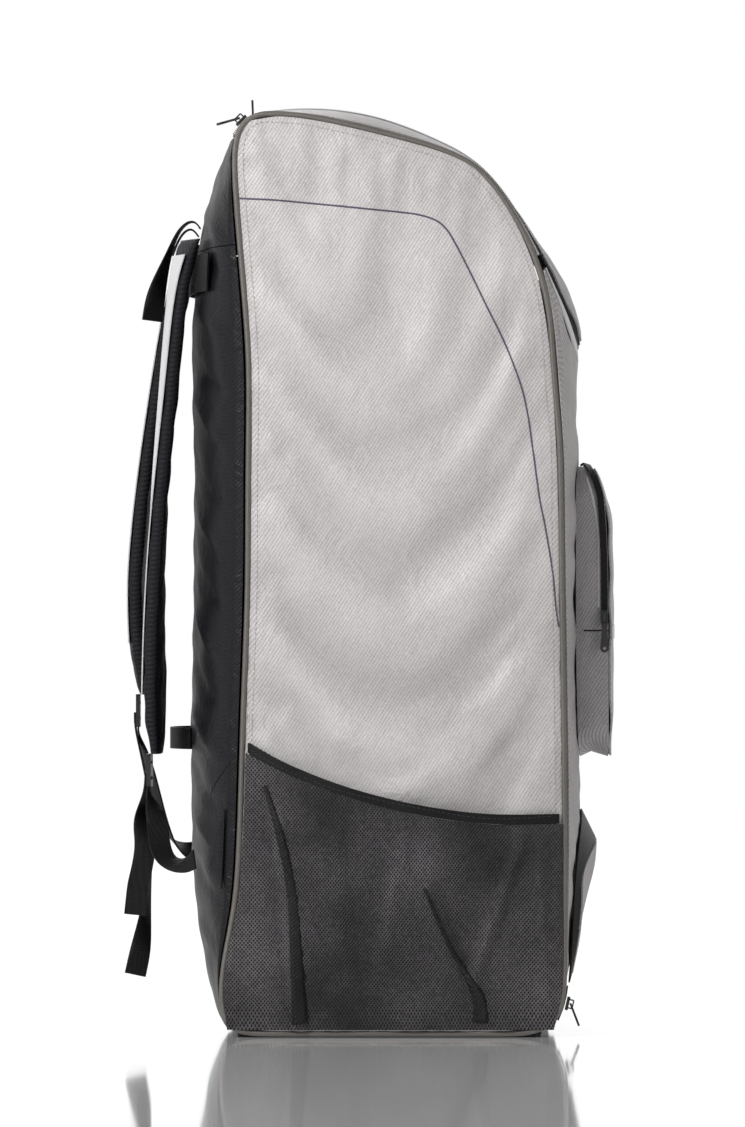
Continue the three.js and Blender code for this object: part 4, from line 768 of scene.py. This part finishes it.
# Piping, with the slight twist of its wrapped cover
for side in ("near", "far"):
    obj = fine("piping_" + side, 2, sharp=80)
    co = vertices(obj.data)
    s, _ = near_seam(co)
    lay_flat(obj, s, co[:, 1] * 1.2)
    finish_piece(obj, PIPING)


# Long folds of a side pocket: x at the top and at the bottom, z there, and height
LONG_FOLDS = [
    (0.127, 0.082, 0.191, 0.058, 0.0055), (0.046, 0.078, 0.14, 0.061, -0.005),
    (-0.115, -0.095, 0.21, 0.02, 0.005), (0.01, -0.02, 0.2, 0.05, 0.003),
    (0.15, 0.155, 0.18, 0.03, 0.004), (-0.05, -0.04, 0.2, 0.08, -0.003),
]


# Side pockets, gathered below their hems
def dress_pocket(node, sign, levels, material):
    obj = fine(node, levels)
    co = vertices(obj.data)
    x, z = co[:, 0].copy(), co[:, 2].copy()
    up = np.clip((z - 0.02) / 0.24, 0, 1)
    inside = np.clip((0.168 - np.abs(x)) / 0.03, 0, 1)
    folds = np.sin((x + 0.09 * (z - 0.2)) / 0.012 + 1.3 * np.sin(z / 0.05)) * up**1.6
    slack = ripples(x, z, 0.06, 31, 0.5)
    long_folds = 0
    for x0, x1, z0, z1, height in LONG_FOLDS:
        t = np.clip((z - z1) / (z0 - z1), 0, 1)
        line = x1 + (x0 - x1) * t
        past = np.abs(z - (z0 + z1) / 2) - abs(z0 - z1) / 2
        fade = np.exp(-np.maximum(past, 0) ** 2 / 0.0006)
        long_folds = long_folds + height * np.exp(-(((x - line) / 0.007) ** 2)) * fade
    relief = inside * (0.0011 * folds + 0.0016 * slack + long_folds)
    co[:, 1] += sign * relief
    if node.startswith("mesh"):
        reach = 0.0036 * np.clip((np.abs(x) - 0.13) / 0.03, 0, 1)
        co[:, 0] += np.sign(x) * reach
        co[:, 2] -= 0.0068 * np.clip((0.03 - z) / 0.015, 0, 1)
    set_vertices(obj.data, co)
    # Painted shade in the folds, painted highlight on the ridges, and painted glints towards the lower outer
    # corners
    corners = np.clip((0.13 - z) / 0.12, 0, 1) * np.clip((np.abs(x) - 0.05) / 0.08, 0, 1)
    shade = 0.84 + 75 * np.clip(relief, -0.006, 0.006) + 0.35 * corners
    lay_flat(obj, x, z, shade)
    return finish_piece(obj, material)


NET_NEAR = dress_pocket("mesh_pocket_near", -1, 3, NET)
NET_FAR = dress_pocket("mesh_pocket_far", 1, 3, NET)
for side, sign in (("near", -1), ("far", 1)):
    dress_pocket("pocket_hem_" + side, sign, 2, WEBBING)


# Straps and webbing
def dress_band(node, levels, material, quilt=0.0):
    obj = fine(node, levels, sharp=75)
    co = vertices(obj.data)
    drop = co[:, 2].copy()
    centre = co[:, 1].mean()
    if quilt:
        rows = 1 - np.abs(np.sin(drop / 0.034 * math.pi / 2)) ** 6
        low, high = co[:, 1].min(), co[:, 1].max()
        across = np.clip((co[:, 1] - low) / (high - low), 0, 1)
        rim = np.clip(np.minimum(across, 1 - across) / 0.1, 0, 1)
        co[:, 0] += -quilt * rows * rim * 0.5
        co[:, 0] += 0.0008 * ripples(co[:, 1], drop, 0.03, 41) * rim
        set_vertices(obj.data, co)
    lay_flat(obj, (co[:, 1] - centre) + 0.35 * (co[:, 0] - co[:, 0].mean()), drop)
    return finish_piece(obj, material)


for side in ("near", "far"):
    dress_band("strap_" + side, 3, PAD, 0.0012)
    dress_band("strap_cover_" + side, 2, LIGHT)
    dress_band("adjuster_" + side, 2, WEBBING)
    dress_band("strap_tail_" + side, 2, WEBBING)
for node in ("haul_loop_outer", "haul_loop_inner", "carry_handle"):
    dress_band(node, 2, WEBBING)

# Moulded parts keep their shape, with softened edges
EDGE_ROUND = 0.00035
for node, obj in NODES.items():
    if node.endswith(("_slider", "_pull")) or node.startswith("strap_buckle"):
        obj.data.materials.clear()
        obj.data.materials.append(HARD)
        bevel = obj.modifiers.new("Edges", "BEVEL")
        bevel.width = EDGE_ROUND
        bevel.segments = 2
        bevel.limit_method = "ANGLE"

# Surfaces to lay stitches and lines on
SURFACES = {}


def surface(obj):
    if obj.name not in SURFACES:
        mesh = obj.data
        SURFACES[obj.name] = BVHTree.FromPolygons(
            [v.co.copy() for v in mesh.vertices], [tuple(p.vertices) for p in mesh.polygons]
        )
    return SURFACES[obj.name]


def drop_on(obj, points, direction, reach=0.08):
    """Points laid on a piece from outside, with the surface's normals."""
    tree = surface(obj)
    result = []
    direction = Vector(direction).normalized()
    for point in points:
        start = Vector(point) - direction * reach
        place, normal, _, _ = tree.ray_cast(start, direction, reach * 2)
        if place is not None:
            if normal.dot(direction) > 0:
                normal = -normal
            result.append((place, normal))
    return result


def lengths_along(points):
    """Length along a line at each of its points."""
    return np.concatenate([[0], np.cumsum(np.linalg.norm(np.diff(points, axis=0), axis=1))])


def spaced_along(points, step):
    length = lengths_along(points)
    places = np.arange(0, length[-1], step)
    return np.stack([np.interp(places, length, points[:, k]) for k in range(3)], -1)


def route(table, step):
    """Evenly spaced x and z along a table's spline."""
    return spaced_along(catmull([(x, 0, z) for x, z in table], False, STEPS), step)[:, [0, 2]]


def from_side(obj, places, sign, away=0.2, reach=0.08):
    """Places given as x and z, laid on a piece from the near (-1) or far (1) side."""
    return drop_on(obj, [(x, sign * away, z) for x, z in places], (0, -sign, 0), reach)


def add_tube(bm, rings):
    """Walls between rings of as many points, and both ends."""
    count = len(rings[0])
    for a, b in zip(rings, rings[1:]):
        for k in range(count):
            bm.faces.new((a[k], a[(k + 1) % count], b[(k + 1) % count], b[k]))
    bm.faces.new(rings[0][::-1])
    bm.faces.new(rings[-1])


def from_bmesh(name, bm):
    bmesh.ops.recalc_face_normals(bm, faces=bm.faces)
    mesh = bpy.data.meshes.new(name)
    bm.to_mesh(mesh)
    bm.free()
    return link(name, mesh)


def tube(name, laid, radius, material, lift=0.0, squash=1.0, thick=None):
    """A thin raised line or flat tape along laid points, of one or changing radius."""
    if len(laid) < 3:
        raise ValueError(name + " meets no piece to lie on")
    bm = bmesh.new()
    rings = []
    sizes = np.broadcast_to(np.asarray(radius, dtype=float), (len(laid),))
    for i, (place, normal) in enumerate(laid):
        size = float(sizes[i])
        if thick is not None:
            squash = thick / size
        ahead = laid[min(i + 1, len(laid) - 1)][0]
        behind = laid[max(i - 1, 0)][0]
        along = (ahead - behind).normalized()
        side = along.cross(normal).normalized()
        ring = []
        for k in range(6):
            angle = k * math.pi / 3
            up = math.sin(angle) * size * squash + lift
            offset = side * math.cos(angle) * size + normal * up
            ring.append(bm.verts.new(place + offset))
        rings.append(ring)
    add_tube(bm, rings)
    obj = from_bmesh(name, bm)
    co = vertices(obj.data)
    lay_flat(obj, co[:, 0], co[:, 2] + co[:, 1])
    shade_smooth(obj)
    return dress(obj, material)


def stitches(name, runs, material, length=0.0034, gap=0.0018, radius=0.00042):
    """Rows of short raised threads along laid points."""
    bm = bmesh.new()
    for laid in runs:
        if len(laid) < 3:
            continue
        places = np.array([tuple(p) for p, _ in laid])
        normals = np.array([tuple(n) for _, n in laid])
        total = lengths_along(places)

        def at(rows, t):
            return Vector([float(np.interp(t, total, rows[:, k])) for k in range(3)])

        start = 0.001
        while start + length < total[-1]:
            times = (start, start + length / 2, start + length)
            ends = [(at(places, t), at(normals, t).normalized()) for t in times]
            along = (ends[2][0] - ends[0][0]).normalized()
            rings = []
            for j, (place, normal) in enumerate(ends):
                side = along.cross(normal).normalized()
                size = radius * (1.0 if j == 1 else 0.7)
                rise = radius * (0.75 if j == 1 else 0.1)
                rings.append(
                    [
                        bm.verts.new(place + side * size * cx + normal * (size * cy + rise))
                        for cx, cy in ((1, 0), (0, 1), (-1, 0), (0, -1))
                    ]
                )
            add_tube(bm, rings)
            start += length + gap
    obj = from_bmesh(name, bm)
    shade_smooth(obj)
    return dress(obj, material)


LINE = woven("line_print", (0.03, 0.026, 0.05), (0.085, 0.075, 0.12), rough=0.5)
STITCH_INSET = 0.0095  # from the seam to the row of stitches beside it
STITCH_FLOOR = 0.025  # no stitches below this height
HEM_ROWS = (-0.0033, 0.0033)  # rows of stitches beside the middle of the hem
POCKET_ACROSS = np.linspace(0.196, 0.2235, 14)  # x over the big pocket's depth
POCKET_SEAM_Z = 0.4135
POCKET_STITCH_Z = (0.4108, 0.4052)
POCKET_REACH = 0.14  # the big pocket is narrower than the bag
for side, sign, panel, net in (("near", -1, SIDE_NEAR, NET_NEAR), ("far", 1, SIDE_FAR, NET_FAR)):
    laid = from_side(panel, route(ACCENT_LINE, 0.0015), sign)
    tube("accent_line_" + side, laid, 0.0009, LINE, 0.0003, 0.25)

    # A row of stitches follows the piping on the side panel.
    x, z, _, nx, nz = seam(np.arange(0, SEAM_LENGTH, 0.004))
    row = np.column_stack([x - nx * STITCH_INSET, z - nz * STITCH_INSET])
    laid = from_side(panel, row[row[:, 1] > STITCH_FLOOR], sign)
    stitches("edge_stitches_" + side, [laid], THREAD_LIGHT)

    # Dark strips on the pocket's mesh, and the stitches of its hem
    for i, rows in enumerate(DARK_STRIPS):
        line = spaced_along(catmull(rows, False, STEPS), 0.003)
        laid = from_side(net, line[:, :2], sign, 0.25)
        name = "mesh_dark_strip_%s_%d" % (side, i)
        tube(name, laid, line[: len(laid), 2], DARK_NET, 0.0005, 1.0, 0.001)
    hem = bpy.data.objects["pocket_hem_" + side + "_cloth"]
    middle = route(HEM_LINE, 0.004)
    rows = [from_side(hem, middle + (0, shift), sign, 0.25) for shift in HEM_ROWS]
    stitches("hem_stitches_" + side, rows, THREAD_BLACK)

    # The big pocket's cross seam with its two rows of stitches, and the light
    # tape on the inner side of its zip
    laid = from_side(BOX, [(x, POCKET_SEAM_Z) for x in POCKET_ACROSS], sign, reach=POCKET_REACH)
    tube("pocket_seam_" + side, laid, 0.0008, GUSSET, 0.0, 0.5)
    rows = [
        from_side(BOX, [(x, z) for x in POCKET_ACROSS], sign, reach=POCKET_REACH)
        for z in POCKET_STITCH_Z
    ]
    stitches("pocket_stitches_" + side, rows, THREAD_LIGHT)
    laid = from_side(BOX, route(POCKET_TAPE, 0.003), sign, reach=POCKET_REACH)
    tube("pocket_tape_" + side, laid, 0.0014, LIGHT, 0.0, 1.0, 0.0004)

    # The curved seam low on the back
    laid = from_side(BACK, route(BACK_SEAM, 0.003), sign, 0.25, 0.12)
    tube("back_seam_" + side, laid, 0.0013, BLACK, 0.0, 0.6)

# Zip teeth down the middle of the lid's zip
runs = []
for sign in (-1, 1):
    run = []
    for s, half, _ in spaced_along(np.column_stack([ARM, np.zeros(len(ARM))]), 0.004):
        _, _, _, nx, nz = seam(s)
        place = shell(np.array([s]), sign * half)[0]
        run += drop_on(LID_ZIP_PIECE, [place], (-float(nx), 0, -float(nz)), 0.03)
    runs.append(run)
stitches("lid_zip_teeth", runs, HARD, 0.0013, 0.0007, 0.0009)

# The room
floor_mesh = bpy.data.meshes.new("floor")
floor_mesh.from_pydata([(-9, -11, 0), (9, -11, 0), (9, 9, 0), (-9, 9, 0)], [], [(0, 1, 2, 3)])
floor = link("floor", floor_mesh)
floor.location.z = -0.0002
FLOOR, shader = principled(
    "pale_floor", Roughness=0.10, Base_Color=(0.88, 0.88, 0.88, 1), Emission_Color=(1, 1, 1, 1),
    Emission_Strength=0.12, Coat_Weight=0.8, Coat_Roughness=0.05,
)
floor.data.materials.append(FLOOR)

world = bpy.data.worlds.new("studio")
bpy.context.scene.world = world
world.use_nodes = True
tree = world.node_tree
where = tree.nodes.new("ShaderNodeTexCoord")
split = tree.nodes.new("ShaderNodeSeparateXYZ")
tree.links.new(where.outputs["Generated"], split.inputs[0])


def brightness(source, start, end, low, high):
    """Light that goes from low to high while the source goes from start to end."""
    node = tree.nodes.new("ShaderNodeMapRange")
    for key, value in (("From Min", start), ("From Max", end), ("To Min", low), ("To Max", high)):
        node.inputs[key].default_value = value
    tree.links.new(source, node.inputs["Value"])
    return node.outputs[0]


def joined(operation, a, b):
    node = tree.nodes.new("ShaderNodeMath")
    node.operation = operation
    tree.links.new(a, node.inputs[0])
    tree.links.new(b, node.inputs[1])
    return node.outputs[0]


# White behind the bag, dimmer where the photographer stands and overhead, and
# pale along the whole horizon
behind = brightness(split.outputs[1], -0.7, 0.5, 0.24, 1.0)
above = brightness(split.outputs[2], 0.15, 0.75, 1.0, 0.4)
horizon = brightness(split.outputs[2], 0.10, 0.24, 1.0, 0.0)
light = joined("MAXIMUM", joined("MULTIPLY", behind, above), horizon)
tree.links.new(light, tree.nodes["Background"].inputs["Strength"])
tree.nodes["Background"].inputs["Color"].default_value = (1, 1, 1, 1)
bpy.context.scene.view_settings.view_transform = "Standard"


def softbox(name, place, target, size, power):
    light = bpy.data.lights.new(name, "AREA")
    light.shape = "RECTANGLE"
    light.size, light.size_y = size
    light.energy = power
    obj = bpy.data.objects.new(name, light)
    obj.location = place
    obj.rotation_euler = (Vector(target) - Vector(place)).to_track_quat("-Z", "Y").to_euler()
    bpy.context.scene.collection.objects.link(obj)


softbox("key", (-2.7, -2.8, 2.7), (0, 0, 0.5), (1.1, 1.1), 172)
softbox("fill", (3.0, -2.6, 1.2), (0, 0, 0.5), (0.8, 2.0), 22)
softbox("top", (0.2, 0.4, 3.2), (0, 0, 0.6), (1.6, 1.6), 6)
softbox("floor_wash", (0.0, 4.5, 3.0), (0, 2.0, 0), (3.0, 3.0), 120)

# Camera at the photograph's place: side view, long lens
IMAGE_WIDTH, IMAGE_HEIGHT = 745, 1127
PIXEL = 1.016e-3  # metres to a pixel of the photograph
MIDDLE_COLUMN = 392  # where x is 0
FLOOR_ROW = 1038  # where z is 0
DISTANCE = 9.0
PANEL_FACE = 0.175  # from the middle to the near side panel
SENSOR = 24
lens = bpy.data.cameras.new("camera")
lens.sensor_fit = "VERTICAL"
lens.sensor_height = SENSOR
lens.lens = SENSOR * DISTANCE / (IMAGE_HEIGHT * PIXEL)
lens.clip_end = 60
camera = bpy.data.objects.new("camera", lens)
camera.location = (
    (IMAGE_WIDTH / 2 - MIDDLE_COLUMN) * PIXEL,
    -DISTANCE - PANEL_FACE,
    (FLOOR_ROW - IMAGE_HEIGHT / 2) * PIXEL,
)
camera.rotation_euler = (math.pi / 2, 0, 0)
bpy.context.scene.collection.objects.link(camera)
bpy.context.scene.camera = camera


# Areas of the cloth pieces, and widths of the wraps' flat coordinates
def cloth_area(obj):
    """Area of one face of a thin closed cloth."""
    return sum(p.area for p in obj.data.polygons) / 2


for piece in (BOX, LOW_HOOD):
    area = cloth_area(piece)
for piece in WRAPS:
    flat = np.empty(len(piece.data.loops) * 2)
    piece.data.uv_layers["flat"].data.foreach_get("uv", flat)
    width, length = np.ptp(flat.reshape(-1, 2), axis=0)
    area = cloth_area(piece)
    width = max(float(width), area * 1.001 / float(length))
